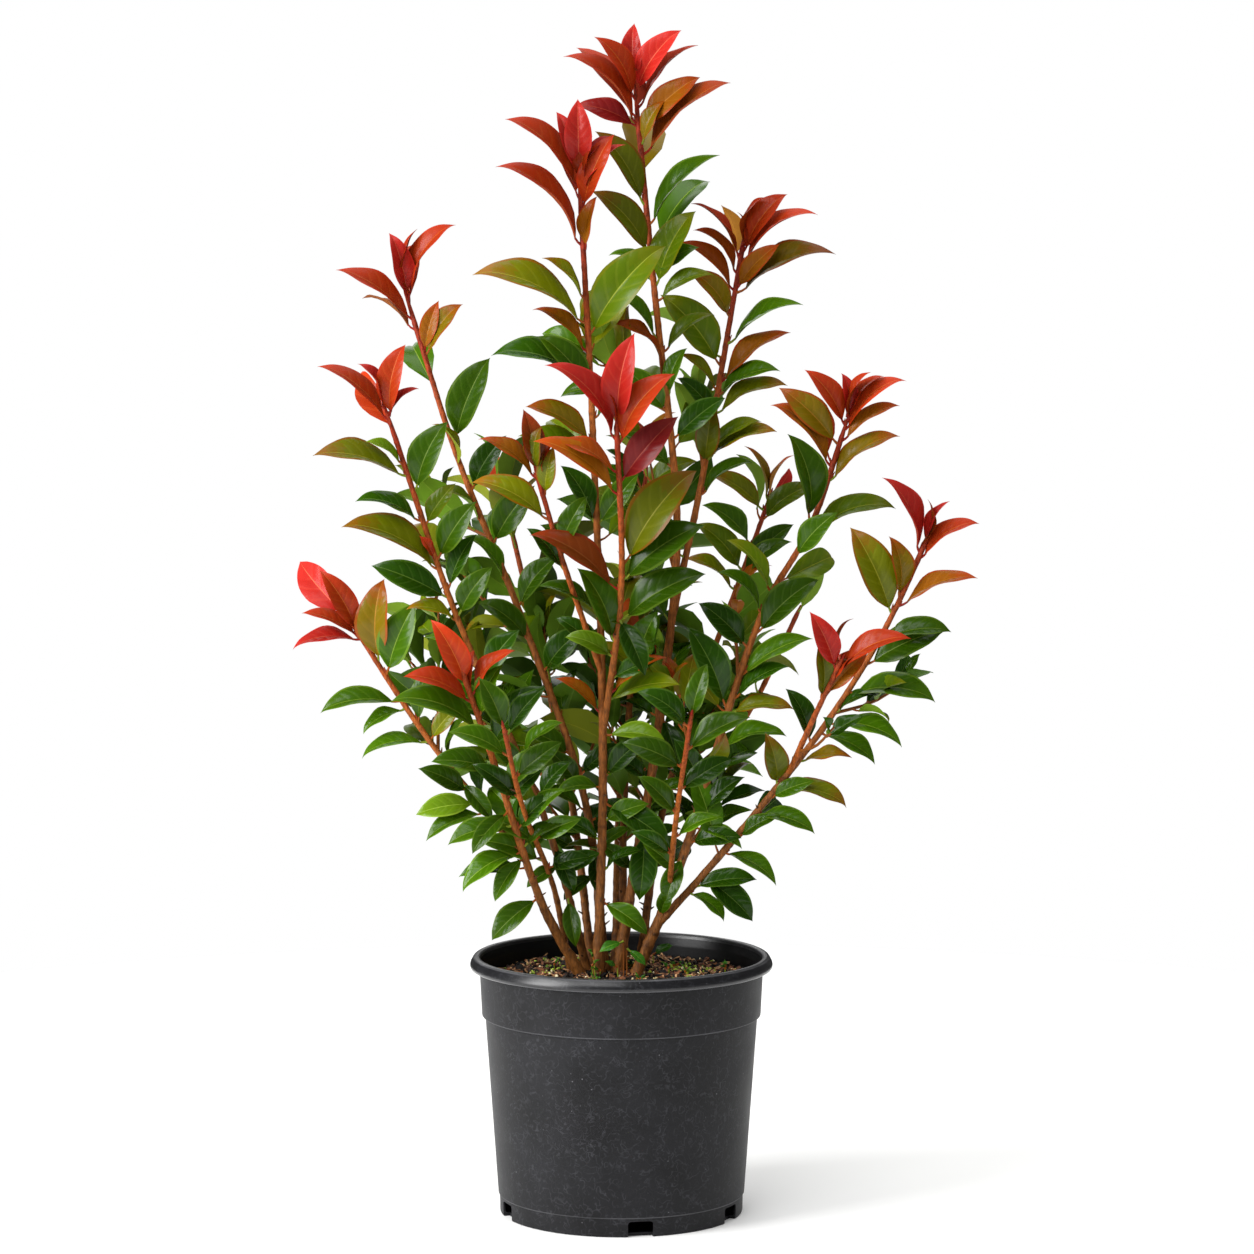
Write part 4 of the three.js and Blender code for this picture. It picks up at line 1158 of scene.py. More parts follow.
# What each leaf draws for itself: its stalk as a share of its length, its width against the usual one, its
# fold and arch in degrees, how far it sways sideways and how high its edge waves. Red leaves are slimmer.
STALK_SHARE = (0.12, 0.2)
WIDTH_SHARE = (0.9, 1.1)
FOLD_DEG = (22, 42)
ARCH_DEG = (30, 62)
FINE_ARCH_DEG = (44, 72)
SWAY = (-0.05, 0.05)
EDGE_WAVE = (0.4, 1.8)
RED_SLIM = 0.9
# The chances of the three tones, dark to light, for leaves grown by rule, and for those of the tables: warm
# ones, ones turned open and ones on edge.
GROWN_TONES = (0.1, 0.4, 0.5)
WARM_TONES = (0.1, 0.8, 0.1)
# Leaves turned open face the lamps, so they are dealt the darker tones: painted shade on the lit leaves.
OPEN_SHADED_TONES = (0.55, 0.45, 0)
EDGE_TONES = (0.1, 0.5, 0.4)
# A leaf stalk's radii from limb to leaf, how far it sags, and the chance that a green leaf's stalk is brown.
STALK_RADII = (1.3, 0.95, 0.8)
FINE_STALK_RADII = (1.6, 1.15, 0.95)
STALK_SAG = 0.06
BROWN_STALKS = 0.65


class Growth:
    """Everything the growing rule makes: leaves by tint, and the twigs and leaf stalks that carry them."""

    def __init__(self, settings):
        self.settings = settings
        self.rng = np.random.default_rng(settings.seed)
        self.leaves = {tint: Heap() for tint in TINTS}
        self.wood = Heap()
        self.kept = [(0, 0, 0)]

    def leaf(self, root, chord, face, length, tint, fine=False, stalk=None, fold=None, tones=GROWN_TONES):
        """One leaf on its stalk. root is on the limb's surface, and chord points from there to the tip."""
        rng = self.rng
        chord = unit(chord)
        face = across(face, chord)
        red = tint in RED_TINTS
        stalk = stalk if stalk is not None else length * rng.uniform(*STALK_SHARE)
        base = root + chord * stalk
        width = length * self.settings.leaf_width * rng.uniform(*WIDTH_SHARE) * (RED_SLIM if red else 1)
        fold = fold if fold is not None else math.radians(rng.uniform(*FOLD_DEG))
        arch = math.radians(rng.uniform(*(FINE_ARCH_DEG if fine else ARCH_DEG)))
        grid = FINE_LEAF if fine else NEAR_LEAF if root[1] < NEAR_DEPTH else PLAIN_LEAF
        points = leaf_points(grid, base, chord, face, length, width, fold, arch,
                             rng.uniform(*SWAY), rng.uniform(*EDGE_WAVE), rng.uniform(0, 1))
        tone = rng.choice(len(TONES), p=tones)
        self.leaves[tint].add(points, grid[3], [part + tone * PARTS for part in grid[4]])
        entry = unit(chord + face * math.tan(arch / 2) * 0.8)
        path = Route([root, root + (base - root) * 0.5 - face * stalk * STALK_SAG, base + entry * 1.5], 4)
        mark = RED_STALK if red else BROWN_STALK if rng.random() < BROWN_STALKS else GREEN_STALK
        self.spike(path, FINE_STALK_RADII if fine else STALK_RADII, mark)

    def spike(self, path, radii, mark):
        """A thin round stalk, bud or snag along a path."""
        self.wood.add(*tube(path, radii, np.linspace(0, 1, len(radii)), 5), mark)


# A leaf's possible tints by its distance from the shoot's tip, as a share of how far red leaves reach: red,
# then turning, then green. Farther than that, leaves low on the plant are the darker ones.
TINTS_BY_STEP = (
    (0.42, ("crimson", "scarlet", "scarlet")),
    (0.85, ("scarlet", "russet", "copper")),
    (1.4, ("copper", "bronze", "olive", "bronze")),
    (2.2, ("olive", "yellow_green", "green", "yellow_green")),
)
LOW_TINTS = ("deep_green", "mid_green", "green", "deep_green", "mid_green", "yellow_green", "olive")
HIGH_TINTS = ("green", "yellow_green", "olive", "mid_green", "olive", "yellow_green")


def tint_by_place(rng, from_tip, red_length, height):
    """A leaf's tint by its distance from the shoot's tip and its height."""
    for limit, tints in TINTS_BY_STEP:
        if from_tip / red_length < limit:
            return rng.choice(tints)
    return rng.choice(LOW_TINTS if rng.random() < smooth_step(780, 380, height) else HIGH_TINTS)


# How far leaves may stand from a limb of reach 1, and the points that are looked at along each.
ENVELOPE = 70
CROWN_STEPS = 24


def crown_line():
    """Points along every limb's leafy stretch, with how far leaves may stand from each."""
    places, reaches = [], []
    for name, route in ROUTES.items():
        limb = LIMBS[name]
        shares = np.linspace(limb["bare"], 1, CROWN_STEPS)
        places.append(route.at(shares))
        reaches.append(np.full(CROWN_STEPS, ENVELOPE * limb.get("reach", 1)))
    return np.concatenate(places), np.concatenate(reaches)


CROWN_PLACES, CROWN_REACHES = crown_line()


def within_crown(point):
    """True where some leafy stretch is near enough to carry a leaf there."""
    return bool((np.linalg.norm(CROWN_PLACES - point, axis=1) < CROWN_REACHES).any())


# The limbs that stay in view from the front, each from a height to its end, and how near a leaf that stands
# before one, or before a telling leaf, may come to it.
SHOWN_LIMBS = {
    "tallest": 560, "centre_front": 235, "left_front": 235, "upper_left": 330, "mid_left": 400, "right": 235,
    "far_right": 300, "upper_right": 640, "front_shoot": 470, "far_left": 340,
}
SHOWN_STEPS = 90
SHOWN_CLEAR = 10
SHOWN_BEHIND = 3
KEPT_CLEAR = 8
LIMB_HIDING = 0.8
CAMERA_AWAY = -CAMERA_PLACE[1] * PER_METRE
# The shares of a leaf's or a twig's length that are looked at.
HIDING_SHARES = np.array([[0.2], [0.45], [0.7], [0.95]])


def seen_at(points):
    """Where points stand, across and up, as the camera sees them, and how far they are from the front."""
    points = np.atleast_2d(points)
    scale = CAMERA_AWAY / (CAMERA_AWAY + points[:, 1])
    eye = np.array([CAMERA_PLACE[0], CAMERA_PLACE[2]]) / MM
    return eye + (points[:, [0, 2]] - eye) * scale[:, None], points[:, 1]


def shown_line():
    """Points along the limbs that stay in view, as the camera sees them."""
    rows = []
    for name, floor in SHOWN_LIMBS.items():
        line = ROUTES[name].at(np.linspace(0, 1, SHOWN_STEPS))
        rows.append(line[line[:, 2] > floor])
    return seen_at(np.concatenate(rows))


SHOWN_PLACES, SHOWN_DEPTHS = shown_line()


def hides(base, tip, kept):
    """How unwelcome a leaf or twig is: 1 before one of the kept places, less before a shown limb."""
    places, depths = seen_at(base + (tip - base) * HIDING_SHARES)
    kept_places, kept_depths = seen_at(kept)
    found = 0
    for place, depth in zip(places, depths):
        near = np.linalg.norm(kept_places - place, axis=1) < KEPT_CLEAR
        if (near & (kept_depths > depth)).any():
            return 1
        near = np.linalg.norm(SHOWN_PLACES - place, axis=1) < SHOWN_CLEAR
        if (near & (SHOWN_DEPTHS > depth + SHOWN_BEHIND)).any():
            found = LIMB_HIDING
    return found


FACE_CHANCE = 0.16


def face_of_leaf(rng, chord, axis, outward, show):
    """The way a leaf's upper side looks: along its shoot and up, turned some way out to the light."""
    natural = across(0.55 * axis + 0.6 * UP, chord)
    lit = across(outward, chord)
    mixed = natural * (1 - show) + lit * show
    return unit(mixed + rng.normal(0, FACE_CHANCE, 3))


# A leaf of the tables: how far it tips to the front, its fold in degrees, its stalk as a share of its length,
# and by how many degrees its face turns to the front if it is turned open, or past its fold if it isn't.
TELLING_TIP = (-0.4, -0.08)
TELLING_FOLD_DEG = (26, 38)
TELLING_STALK = (0.06, 0.1)
TURNED_OPEN_DEG = (58, 80)
PAST_FOLD_DEG = (2, 12)
# The shares of its length that no other leaf may hide.
KEPT_SHARES = (0.3, 0.5, 0.7, 0.9)
# Buds in the leaves' corners: their chance, length and radii. A limb's end goes on into a longer one.
BUD_CHANCE = 0.5
BUD_LENGTH = (3, 7)
BUD_RADII = (1.2, 1.1, 0.3)
END_BUD = 6
# How much of the height that its topmost leaves need past a limb's end is made up by going on along its axis.
PAST_END = 0.7


def grow_telling(growth):
    """The leaves of the tables, fine ones, turned to the front wholly or by just their fold."""
    rng = growth.rng
    rows = [(limb, *row) for limb, some in TELLING_LEAVES.items() for row in some] + LOW_LEAVES
    for limb, height, lean, length, tint, *turned in rows:
        route = ROUTES[limb]
        share = route.share_at_height(height)
        axis = route.heading(share)
        angle = math.radians(lean)
        flat = np.array([math.sin(angle), 0, math.cos(angle)])
        chord = unit(flat + [0, rng.uniform(*TELLING_TIP), 0])
        above = max(height - route.trace[-1][2], 0)
        root = route.at(share) + across(chord, axis) * limb_radius(limb, share) * 0.6
        root = root + axis * above * PAST_END
        upper = across(UP * 0.7 + axis * 0.6, chord)
        fold = math.radians(rng.uniform(*TELLING_FOLD_DEG))
        turn = math.radians(rng.uniform(*(TURNED_OPEN_DEG if turned else PAST_FOLD_DEG)))
        turn = turn if turned else fold + turn
        face = upper * math.cos(turn) + across(TO_VIEWER, chord) * math.sin(turn)
        real = length / max(math.hypot(chord[0], chord[2]), 0.5)
        stalk = real * rng.uniform(*TELLING_STALK)
        # Leaves turned open take the darker tones, as painted shade.
        tones = WARM_TONES if tint in WARM_TINTS else OPEN_SHADED_TONES if turned else EDGE_TONES
        growth.leaf(root, chord, face, real - stalk, tint, fine=True, stalk=stalk, fold=fold, tones=tones)
        if turned or tint not in GREEN_TINTS:
            growth.kept += [root + chord * real * share for share in KEPT_SHARES]
        if rng.random() < BUD_CHANCE:
            tip = root + (chord * 0.5 + axis) * rng.uniform(*BUD_LENGTH)
            growth.spike(Route([root, tip], 3), BUD_RADII, BUD)
    for limb, some in TELLING_LEAVES.items():
        route = ROUTES[limb]
        end, axis = route.trace[-1], route.heading(1)
        above = max(max(row[0] for row in some) - end[2], 0) * PAST_END + END_BUD
        stout = limb_radius(limb, 1)
        growth.spike(Route([end - axis * 2, end + axis * above], 4), (stout, stout * 0.9, 0.4), RED_STALK)


TELLING_BELOW = 10


def telling_floor(name):
    """A little below the lowest leaf that the table has on a limb, or above all if it has none there."""
    rows = TELLING_LEAVES.get(name)
    return min(row[0] for row in rows) - TELLING_BELOW if rows else math.inf


# By the distance from a shoot's tip: how many degrees its leaves open from it, how close they stand and how
# long they are. By height: how long they are.
OPENING_DEG = ((0, 30, 90, 200), (20, 42, 58, 68))
CLOSENESS = ((0, 40, 80), (0.36, 0.64, 1.0))
YOUNG_SIZE = ((0, 18, 60), (0.5, 0.82, 1.0))
LOW_SIZE = ((320, 560), (0.8, 1.0))
# What each leaf draws on top of that, with its turn round the shoot in radians and how far it turns to light.
OPENING_DRAW_DEG = (-9, 9)
GAP_DRAW = (0.8, 1.2)
SIZE_DRAW = (0.8, 1.15)
SPIRAL_DRAW = (-0.3, 0.3)
SHOW_DRAW = (0.3, 0.8)
# How far a leaf above the guarded height has to point away from the front.
GUARD_BACK = 0.38
# The lowest heights for a leaf and for a twig's end, and for one with red leaves.
SHOOT_FLOOR = 305
TWIG_FLOOR = 325
TWIG_RED_FLOOR = 470
# Behind this depth, a leaf that points into the crown is as green as one so much further from the tip.
BACK_START = 90
SHADE_AGES = 70


def grow_shoot(growth, route, start, radius, red_length, spacing, size, guard=math.inf):
    """Leaves in a spiral along a shoot, closer together and more upright toward its tip.

    guard is a height above which only leaves that point away from the front are grown.
    """
    rng = growth.rng
    turn = rng.uniform(0, TURN)
    place = start * route.length
    while place < route.length - 2:
        share = place / route.length
        from_tip = route.length - place
        axis = route.heading(share)
        point = route.at(share)
        side = across(np.array([math.cos(turn), math.sin(turn), 0.01]), axis)
        side = unit(side * math.cos(0.2) + np.cross(axis, side) * math.sin(0.2))
        open_up = math.radians(np.interp(from_tip, *OPENING_DEG) + rng.uniform(*OPENING_DRAW_DEG))
        chord = unit(axis * math.cos(open_up) + side * math.sin(open_up))
        turn += GOLDEN_ANGLE + rng.uniform(*SPIRAL_DRAW)
        place += spacing * np.interp(from_tip, *CLOSENESS) * rng.uniform(*GAP_DRAW)
        length = size * rng.uniform(*SIZE_DRAW) * np.interp(from_tip, *YOUNG_SIZE)
        length *= np.interp(point[2], *LOW_SIZE)
        if point[2] < SHOOT_FLOOR or (point[2] > guard and chord[1] < GUARD_BACK):
            continue
        tip = point + chord * length * 1.1
        if not within_crown(tip) or rng.random() < hides(point, tip, growth.kept):
            continue
        front = smooth_step(60, -40, point[1])
        outward = unit(np.array([point[0] * 0.6, point[1] - 150 * front, 75.0])) + rng.normal(0, 0.3, 3)
        face = face_of_leaf(rng, chord, axis, outward, rng.uniform(*SHOW_DRAW))
        shaded = SHADE_AGES if point[1] > BACK_START and chord[1] < 0.2 else 0
        tint = tint_by_place(rng, from_tip + shaded, red_length, point[2])
        growth.leaf(point + side * radius(share) * 0.7, chord, face, length, tint)


# Side twigs: how much of a limb's end has none, by its length; their length, and the share of it by their
# place on the limb; their lean in degrees, their rise, and their radii at foot, end and middle.
TWIG_CLEAR = ((200, 500, 900), (90, 190, 260))
TWIG_LENGTH = (60, 150)
TWIG_SHARE = ((0, 0.35, 1), (0.9, 1.0, 0.55))
TWIG_LEAN_DEG = (32, 54)
TWIG_RISE = 0.18
TWIG_RADII = (1.7, 1.0)
TWIG_MIDDLE = 1.4
TWIG_RINGS = 7
TWIG_GAP_DRAW = (0.75, 1.25)
TWIG_SPIRAL_DRAW = (-0.4, 0.4)
# Their leaves: where they start, their gap, their size as a share of a limb's, how far red ones reach on a
# twig that has them and on one that doesn't, and the chance of the first.
TWIG_BARE = 0.22
TWIG_LEAF_GAP = 13
TWIG_LEAF_SHARE = (0.52, 0.82)
TWIG_RED = (10, 18)
TWIG_NOT_RED = 4
RED_TWIGS = 0.12


def grow_twigs(growth, name):
    """Side twigs along a limb's leafy stretch, each with its own leaves, kept inside the crown."""
    rng, route, limb = growth.rng, ROUTES[name], LIMBS[name]
    settings = growth.settings
    turn = rng.uniform(0, TURN)
    place = limb["bare"] * route.length
    clear = np.interp(route.length, *TWIG_CLEAR)
    while place < route.length - clear:
        share = place / route.length
        axis, point = route.heading(share), route.at(share)
        side = across(np.array([math.cos(turn), math.sin(turn), 0.01]), axis)
        turn += GOLDEN_ANGLE + rng.uniform(*TWIG_SPIRAL_DRAW)
        place += settings.twig_gap * rng.uniform(*TWIG_GAP_DRAW) * PER_METRE
        length = rng.uniform(*TWIG_LENGTH) * np.interp(share, *TWIG_SHARE)
        lean = math.radians(rng.uniform(*TWIG_LEAN_DEG))
        way = unit(axis * math.cos(lean) + side * math.sin(lean))
        end = point + way * length + UP * length * TWIG_RISE
        if not within_crown(end) or point[2] < TWIG_FLOOR:
            continue
        if rng.random() < hides(point + way * 20, end, growth.kept):
            continue
        twig = Route([point, point + way * length * 0.5, end], 10)
        shares = np.linspace(0, 1, TWIG_RINGS)
        radii = np.interp(shares, (0, 1), TWIG_RADII)
        growth.wood.add(*tube(twig, radii, shares, 6), TWIG)
        is_red = rng.random() < RED_TWIGS and end[2] > TWIG_RED_FLOOR
        red = rng.uniform(*TWIG_RED) if is_red else TWIG_NOT_RED
        grow_shoot(growth, twig, TWIG_BARE, lambda s: TWIG_MIDDLE, red, spacing=TWIG_LEAF_GAP,
                   size=settings.leaf_length * PER_METRE * rng.uniform(*TWIG_LEAF_SHARE))


# Dead stubs: how many a stem and a bough have, how high above a limb's start, how long, and their radii.
STEM_SNAGS = 7
BOUGH_SNAGS = 2
SNAG_HEIGHTS = (8, 190)
SNAG_LENGTH = (2.5, 8)
SNAG_RADII = (1.1, 0.8, 0.45)


def grow_snags(growth):
    """Short dead stubs on the low wood, where small twigs have died back."""
    rng = growth.rng
    for name, limb in LIMBS.items():
        route = ROUTES[name]
        for _ in range(STEM_SNAGS if "foot" in limb else BOUGH_SNAGS):
            share = route.share_at_height(route.trace[0][2] + rng.uniform(*SNAG_HEIGHTS))
            axis = route.heading(share)
            side = across(rng.normal(0, 1, 3), axis)
            root = route.at(share) + side * limb_radius(name, share) * 0.8
            way = unit(side + axis * rng.uniform(0.1, 1.0))
            growth.spike(Route([root, root + way * rng.uniform(*SNAG_LENGTH)], 3), SNAG_RADII, SNAG)


# Seedlings and basal leaves on the compost: place, height above it, lean, length, and whether it is turned
# open.
SPROUTS = [
    ((2, -25), 34, -112, 22, "open"), ((5, -25), 27, 132, 20, "open"), ((-3, -27), 10, -60, 12, "open"),
    ((-24, -20), 16, -30, 10), ((-26, -18), 10, 50, 9), ((-21, -19), 5, -70, 9), ((44, -8), 6, -50, 8),
    ((-62, 10), 6, 40, 8), ((30, 42), 10, 60, 20, "open"), ((-20, 62), 12, -70, 20, "open"),
]
# Tufts of small seedlings: how many, how far they stand from the middle, the seedlings in each, and their
# height, lean and length.
TUFTS = 11
TUFT_SPREAD = (22, 108)
TUFT_SIZE = 4
TUFT_RISE = (1, 4)
TUFT_LEAN = (-80, 80)
TUFT_LEAF = (4, 7)
TALL_SPROUT = 20
SPROUT_SUNK = 2
SPROUT_SWAY = (-2, 2)
SPROUT_RADII = (0.7, 0.6, 0.5)
SPROUT_FOLD = 0.3


def grow_sprouts(growth, seed):
    """Small seedlings in tufts on the compost, and a few bigger leaves at the stems' feet."""
    growth.rng = rng = np.random.default_rng(seed)
    rows = list(SPROUTS)
    for _ in range(TUFTS):
        spread, turn = rng.uniform(*TUFT_SPREAD), rng.uniform(0, TURN)
        middle = (spread * math.cos(turn), spread * math.sin(turn))
        rows += [(middle, rng.uniform(*TUFT_RISE), rng.uniform(*TUFT_LEAN), rng.uniform(*TUFT_LEAF))
                 for _ in range(TUFT_SIZE)]
    for (x, y), rise, lean, length, *turned in rows:
        root = np.array([x, y, COMPOST_LEVEL - SPROUT_SUNK])
        top = root + [rng.uniform(*SPROUT_SWAY), rng.uniform(*SPROUT_SWAY), rise + SPROUT_SUNK]
        growth.spike(Route([root, top], 3), SPROUT_RADII, TWIG if rise > TALL_SPROUT else GREEN_STALK)
        angle = math.radians(lean)
        chord = unit(np.array([math.sin(angle), rng.uniform(-0.5, 0.2), math.cos(angle)]))
        face = unit(across(UP, chord) + across(TO_VIEWER, chord) * (1.6 if turned else 0.5))
        growth.leaf(top, chord, face, length, "sprout", fold=SPROUT_FOLD)


def grow_everything(settings):
    """All leaves, twigs and stalks."""
    growth = Growth(settings)
    grow_telling(growth)
    grow_snags(growth)
    for name, route in ROUTES.items():
        limb = LIMBS[name]
        grow_shoot(growth, route, limb["bare"], lambda s, n=name: limb_radius(n, s), limb["red"],
                   spacing=settings.leaf_gap * PER_METRE, size=settings.leaf_length * PER_METRE,
                   guard=telling_floor(name))
        grow_twigs(growth, name)
    return growth


# Twigs, the stalks of green, red and brown kinds, buds and dead snags: name, colour and roughness.
STALK_FINISHES = (
    ("twig_bark", "#80481c", 0.48), ("green_stalk", "#728024", 0.42), ("red_stalk", "#801c10", 0.38),
    ("brown_stalk", "#8e4a1a", 0.42), ("bud", "#84341a", 0.45), ("dead_snag", "#5a3f2a", 0.8),
)

# How much darker or lighter than its tint each of three tones is, and its upper skin's gloss.
TONES = (0.62, 0.95, 1.28)
SKIN_COATS = (0.12, 0.17, 0.24)
RED_COAT = 0.1
RED_SPECULAR = 0.12
# How far toward the midrib's colour a green leaf's edge, the midrib, the veins and the keel are mixed.
EDGE_MIX = 0.45
RIB_MIX = 0.75
VEIN_MIX = 0.13
KEEL_MIX = 0.4
UNDER_ROUGHNESS = 0.6


def blend(a, b, share):
    """A colour part of the way from one hex colour to another."""
    mixed = (round(int(a[i:i + 2], 16) * (1 - share) + int(b[i:i + 2], 16) * share) for i in (1, 3, 5))
    return "#" + "".join(f"{v:02x}" for v in mixed)


def stalk_materials(prefix=""):
    """The finishes of twigs, stalks, buds and snags: thin bark with a faint gloss."""
    return [plain_growth(prefix + label, colour, roughness) for label, colour, roughness in STALK_FINISHES]


def leaf_materials(tint):
    """A leaf's finishes in three tones: a waxy glossy upper skin, paler ribs and a dull pale underside."""
    blade, margin, rib, under, roughness = TINTS[tint]
    red = tint in RED_TINTS
    edge = margin if red or tint in TURNING_TINTS else blend(blade, rib, EDGE_MIX)
    blushes = [blend(blade, margin, (step + 1) / len(BLUSH_STARTS)) for step in range(len(BLUSH_STARTS))]
    made = []
    for tone, factor in enumerate(TONES):
        skin = {"coat": RED_COAT, "specular": RED_SPECULAR} if red else {"coat": SKIN_COATS[tone]}
        parts = [
            ("blade", blade, roughness, skin),
            ("margin", edge, roughness, skin),
            ("midrib", blend(blade, rib, RIB_MIX), 0.45, {}),
            ("vein", blend(blade, rib, VEIN_MIX), roughness + 0.04, skin),
            ("underside", under, UNDER_ROUGHNESS, {}),
            ("keel", blend(under, rib, KEEL_MIX), UNDER_ROUGHNESS, {}),
            *((f"blush_{step + 1}", blush, roughness, skin) for step, blush in enumerate(blushes)),
        ]
        made += [plain_growth(f"{tint}_{tone + 1}_{part}", colour, rough, tone=factor, **finish)
                 for part, colour, rough, finish in parts]
    return made


def nodes_starting(*starts):
    """The solids whose names start in one of these ways."""
    return [name for name in frame["nodes"] if name.startswith(starts)]


# ---------------------------------------------------------------- add-on


class PotSettings(bpy.types.PropertyGroup):
    """What a user may change on the pot."""

    colour: bpy.props.StringProperty(
        name="Plastic", description="The plastic's colour as hex", default="#101012")
    scuff: bpy.props.StringProperty(
        name="Scuffs", description="Colour of scuffs and dust as hex", default="#57575d")


class CompostSettings(bpy.types.PropertyGroup):
    """What a user may change on the compost."""

    seed: bpy.props.IntProperty(name="Seed", description="Which scatter of litter is laid", default=5)


class BarkSettings(bpy.types.PropertyGroup):
    """What a user may change on the stems and boughs."""

    old: bpy.props.StringProperty(
        name="Old bark", description="Colour at the foot, as hex", default="#74481f")
    middle: bpy.props.StringProperty(
        name="Middle bark", description="Colour halfway, as hex", default="#9a521e")
    young: bpy.props.StringProperty(
        name="Young bark", description="Colour at the tip, as hex", default="#862a13")
    seed: bpy.props.IntProperty(name="Seed", description="Which scatter of nodes and scars", default=21)


class FoliageSettings(bpy.types.PropertyGroup):
    """What a user may change on the twigs and leaves."""

    leaf_length: bpy.props.FloatProperty(
        name="Leaf length", description="A full-grown leaf's blade", default=0.08, unit="LENGTH")
    leaf_width: bpy.props.FloatProperty(
        name="Leaf width", description="Width as a share of the length", default=0.48, subtype="FACTOR")
    leaf_gap: bpy.props.FloatProperty(
        name="Leaf gap", description="Distance between leaves on a limb", default=0.02, unit="LENGTH")
    twig_gap: bpy.props.FloatProperty(
        name="Twig gap", description="Distance between side twigs", default=0.052, unit="LENGTH")
    seed: bpy.props.IntProperty(name="Seed", description="Which growth the rule gives", default=55)


class StageSettings(bpy.types.PropertyGroup):
    """What a user may change on the stage."""

    floor: bpy.props.StringProperty(name="Floor", description="The floor's colour as hex", default="#fbfbfa")


class SHRUB_OT_pot(bpy.types.Operator):
    """Adds the nursery pot"""

    bl_idname = "shrub.pot"
    bl_label = "Nursery pot"

    def execute(self, context):
        build_pot(context.scene.shrub_pot)
        return {"FINISHED"}


class SHRUB_OT_compost(bpy.types.Operator):
    """Adds the compost and the litter on it"""

    bl_idname = "shrub.compost"
    bl_label = "Compost"

    def execute(self, context):
        settings = context.scene.shrub_compost
        bed = build_bed(settings)
        build_litter(bed, settings)
        growth = Growth(context.scene.shrub_foliage)
        grow_sprouts(growth, settings.seed)
        leaves = growth.leaves["sprout"].mesh("sprout_leaves", leaf_materials("sprout"))
        add_piece("sprout_leaves", leaves, ["compost"])
        stalks = growth.wood.mesh("sprout_stalks", stalk_materials("sprout_"))
        add_piece("sprout_stalks", stalks, ["compost"])
        return {"FINISHED"}


class SHRUB_OT_limbs(bpy.types.Operator):
    """Adds the stems and boughs with their bark"""

    bl_idname = "shrub.limbs"
    bl_label = "Stems and boughs"

    def execute(self, context):
        settings = context.scene.shrub_bark
        material = bark(settings.old, settings.middle, settings.young)
        for number, name in enumerate(LIMBS):
            build_limb(name, material, settings.seed + number)
        return {"FINISHED"}


class SHRUB_OT_foliage(bpy.types.Operator):
    """Adds the twigs, leaf stalks and leaves"""

    bl_idname = "shrub.foliage"
    bl_label = "Twigs and leaves"

    def execute(self, context):
        growth = grow_everything(context.scene.shrub_foliage)
        wood = growth.wood.mesh("twigs_and_stalks", stalk_materials())
        add_piece("twigs_and_stalks", wood, nodes_starting("foliage_", "tip_"))
        for tint, heap in growth.leaves.items():
            if not heap.count:
                continue
            red = tint in RED_TINTS
            nodes = nodes_starting("tip_") if red or tint in TURNING_TINTS else nodes_starting("foliage_")
            add_piece(tint + "_leaves", heap.mesh(tint + "_leaves", leaf_materials(tint)), nodes)
        return {"FINISHED"}


# How bright the white room is to the eye, to matt surfaces and in gloss, which shows the lamps.
ROOM_GLOW = 1.0
ROOM_FILL = 0.76
ROOM_GLOSS = 0.06
# Each light: its place, what it looks at, its width and height, and its power in watts.
LIGHTS = {
    "key": ((-2.55, -1.4, 1.35), (0, 0, 0.5), (1.5, 2.6), 134),
    "front": ((-0.9, -2.3, 2.7), (0, 0, 0.5), (1.6, 1.2), 26),
    "top": ((0.1, 0.3, 2.9), (0, 0, 0.6), (1.8, 1.8), 18),
    "back": ((-0.4, 2.7, 1.9), (0, 0, 0.6), (1.8, 1.8), 12),
}
FLOOR_RADIUS = 1.5
FLOOR_SIDES = 128
FLOOR_ROUGHNESS = 0.9
FLOOR_SPECULAR = 0.1


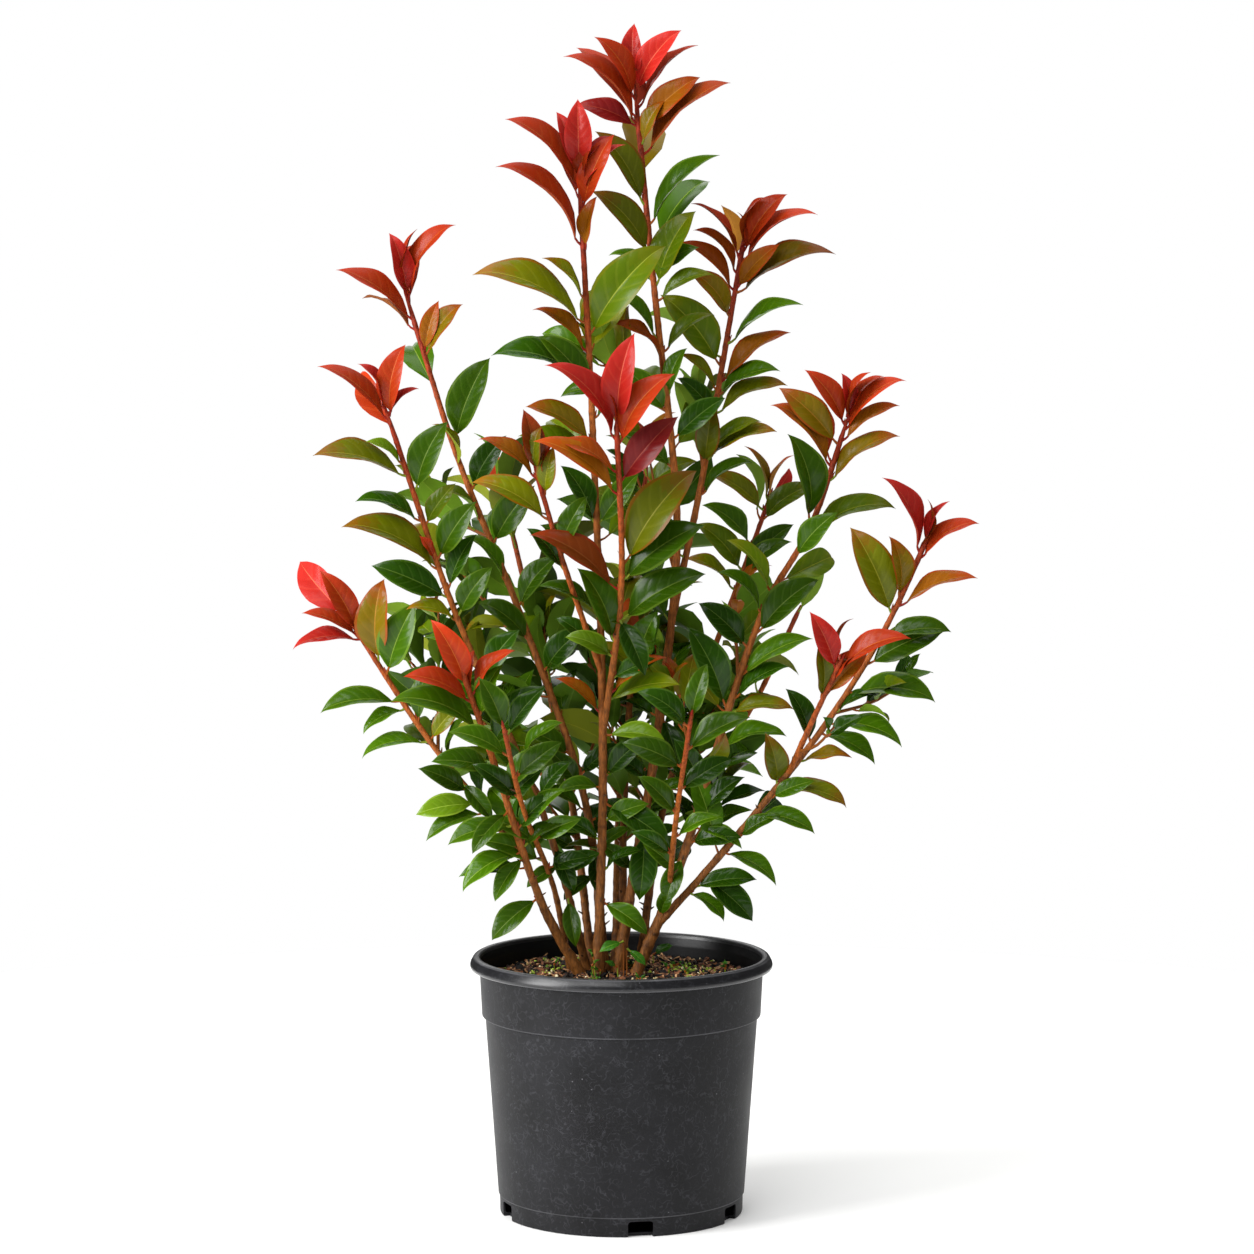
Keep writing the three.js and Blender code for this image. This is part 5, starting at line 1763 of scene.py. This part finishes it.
class SHRUB_OT_stage(bpy.types.Operator):
    """Adds the floor, the lights and the camera"""

    bl_idname = "shrub.stage"
    bl_label = "Stage"

    def execute(self, context):
        ring = angles_round(FLOOR_SIDES)
        mesh = bpy.data.meshes.new("floor")
        edge = np.stack([np.cos(ring), np.sin(ring), 0 * ring], -1) * FLOOR_RADIUS
        mesh.from_pydata(edge.tolist(), [], [tuple(range(FLOOR_SIDES))])
        card, _, shader = start_material("pale_card")
        shader.inputs["Base Color"].default_value = linear(context.scene.shrub_stage.floor)
        shader.inputs["Roughness"].default_value = FLOOR_ROUGHNESS
        shader.inputs["Specular IOR Level"].default_value = FLOOR_SPECULAR
        mesh.materials.append(card)
        floor = bpy.data.objects.new("floor", mesh)
        context.collection.objects.link(floor)
        for name, (place, target, size, power) in LIGHTS.items():
            light = bpy.data.lights.new(name, "AREA")
            light.shape, light.energy = "RECTANGLE", power
            light.size, light.size_y = size
            lamp = bpy.data.objects.new(name, light)
            way = unit(np.array(target, float) - place)
            lamp.location = place
            lamp.rotation_euler = (math.acos(-way[2]), 0, math.atan2(way[0], -way[1]) + math.pi)
            context.collection.objects.link(lamp)
        world = bpy.data.worlds.new("studio")
        world.use_nodes = True
        tree = world.node_tree
        ray = add_node(tree, "ShaderNodeLightPath")
        glow = add_node(tree, "ShaderNodeMapRange", {
            "Value": ray.outputs["Is Diffuse Ray"], "To Min": ROOM_GLOW, "To Max": ROOM_FILL})
        glow = add_node(tree, "ShaderNodeMapRange", {
            "Value": ray.outputs["Is Glossy Ray"], "To Min": glow.outputs[0], "To Max": ROOM_GLOSS})
        tree.nodes["Background"].inputs["Color"].default_value = (1, 1, 1, 1)
        tree.links.new(glow.outputs[0], tree.nodes["Background"].inputs["Strength"])
        context.scene.world = world
        context.scene.view_settings.view_transform = "Standard"
        camera = bpy.data.objects.new("camera", bpy.data.cameras.new("camera"))
        camera.location = CAMERA_PLACE
        camera.rotation_euler = (math.radians(90 - CAMERA_DOWN_DEG), 0, 0)
        camera.data.lens = CAMERA_LENS
        camera.data.sensor_width = CAMERA_SENSOR
        context.collection.objects.link(camera)
        context.scene.camera = camera
        return {"FINISHED"}


class SHRUB_PT_panel(bpy.types.Panel):
    """Lists the shrub's pieces in the sidebar"""

    bl_label = "Potted shrub"
    bl_idname = "SHRUB_PT_panel"
    bl_space_type = "VIEW_3D"
    bl_region_type = "UI"
    bl_category = "Shrub"

    def draw(self, context):
        for key, operator in STEPS:
            box = self.layout.box()
            settings = getattr(context.scene, key)
            for name in settings.__annotations__:
                box.prop(settings, name)
            box.operator(operator.bl_idname)


SETTINGS = {
    "shrub_pot": PotSettings,
    "shrub_compost": CompostSettings,
    "shrub_bark": BarkSettings,
    "shrub_foliage": FoliageSettings,
    "shrub_stage": StageSettings,
}
STEPS = [
    ("shrub_pot", SHRUB_OT_pot),
    ("shrub_compost", SHRUB_OT_compost),
    ("shrub_bark", SHRUB_OT_limbs),
    ("shrub_foliage", SHRUB_OT_foliage),
    ("shrub_stage", SHRUB_OT_stage),
]
CLASSES = [*SETTINGS.values(), *(operator for _, operator in STEPS), SHRUB_PT_panel]


def register():
    """Registers the classes and hangs the settings on the scene."""
    for each in CLASSES:
        bpy.utils.register_class(each)
    for key, group in SETTINGS.items():
        setattr(bpy.types.Scene, key, bpy.props.PointerProperty(type=group))


def unregister():
    """Takes the settings and the classes away again."""
    for key in SETTINGS:
        delattr(bpy.types.Scene, key)
    for each in reversed(CLASSES):
        bpy.utils.unregister_class(each)


def main():
    """Builds every piece in order."""
    register()
    for _, operator in STEPS:
        group, name = operator.bl_idname.split(".")
        getattr(getattr(bpy.ops, group), name)()


if __name__ == "__main__":
    main()
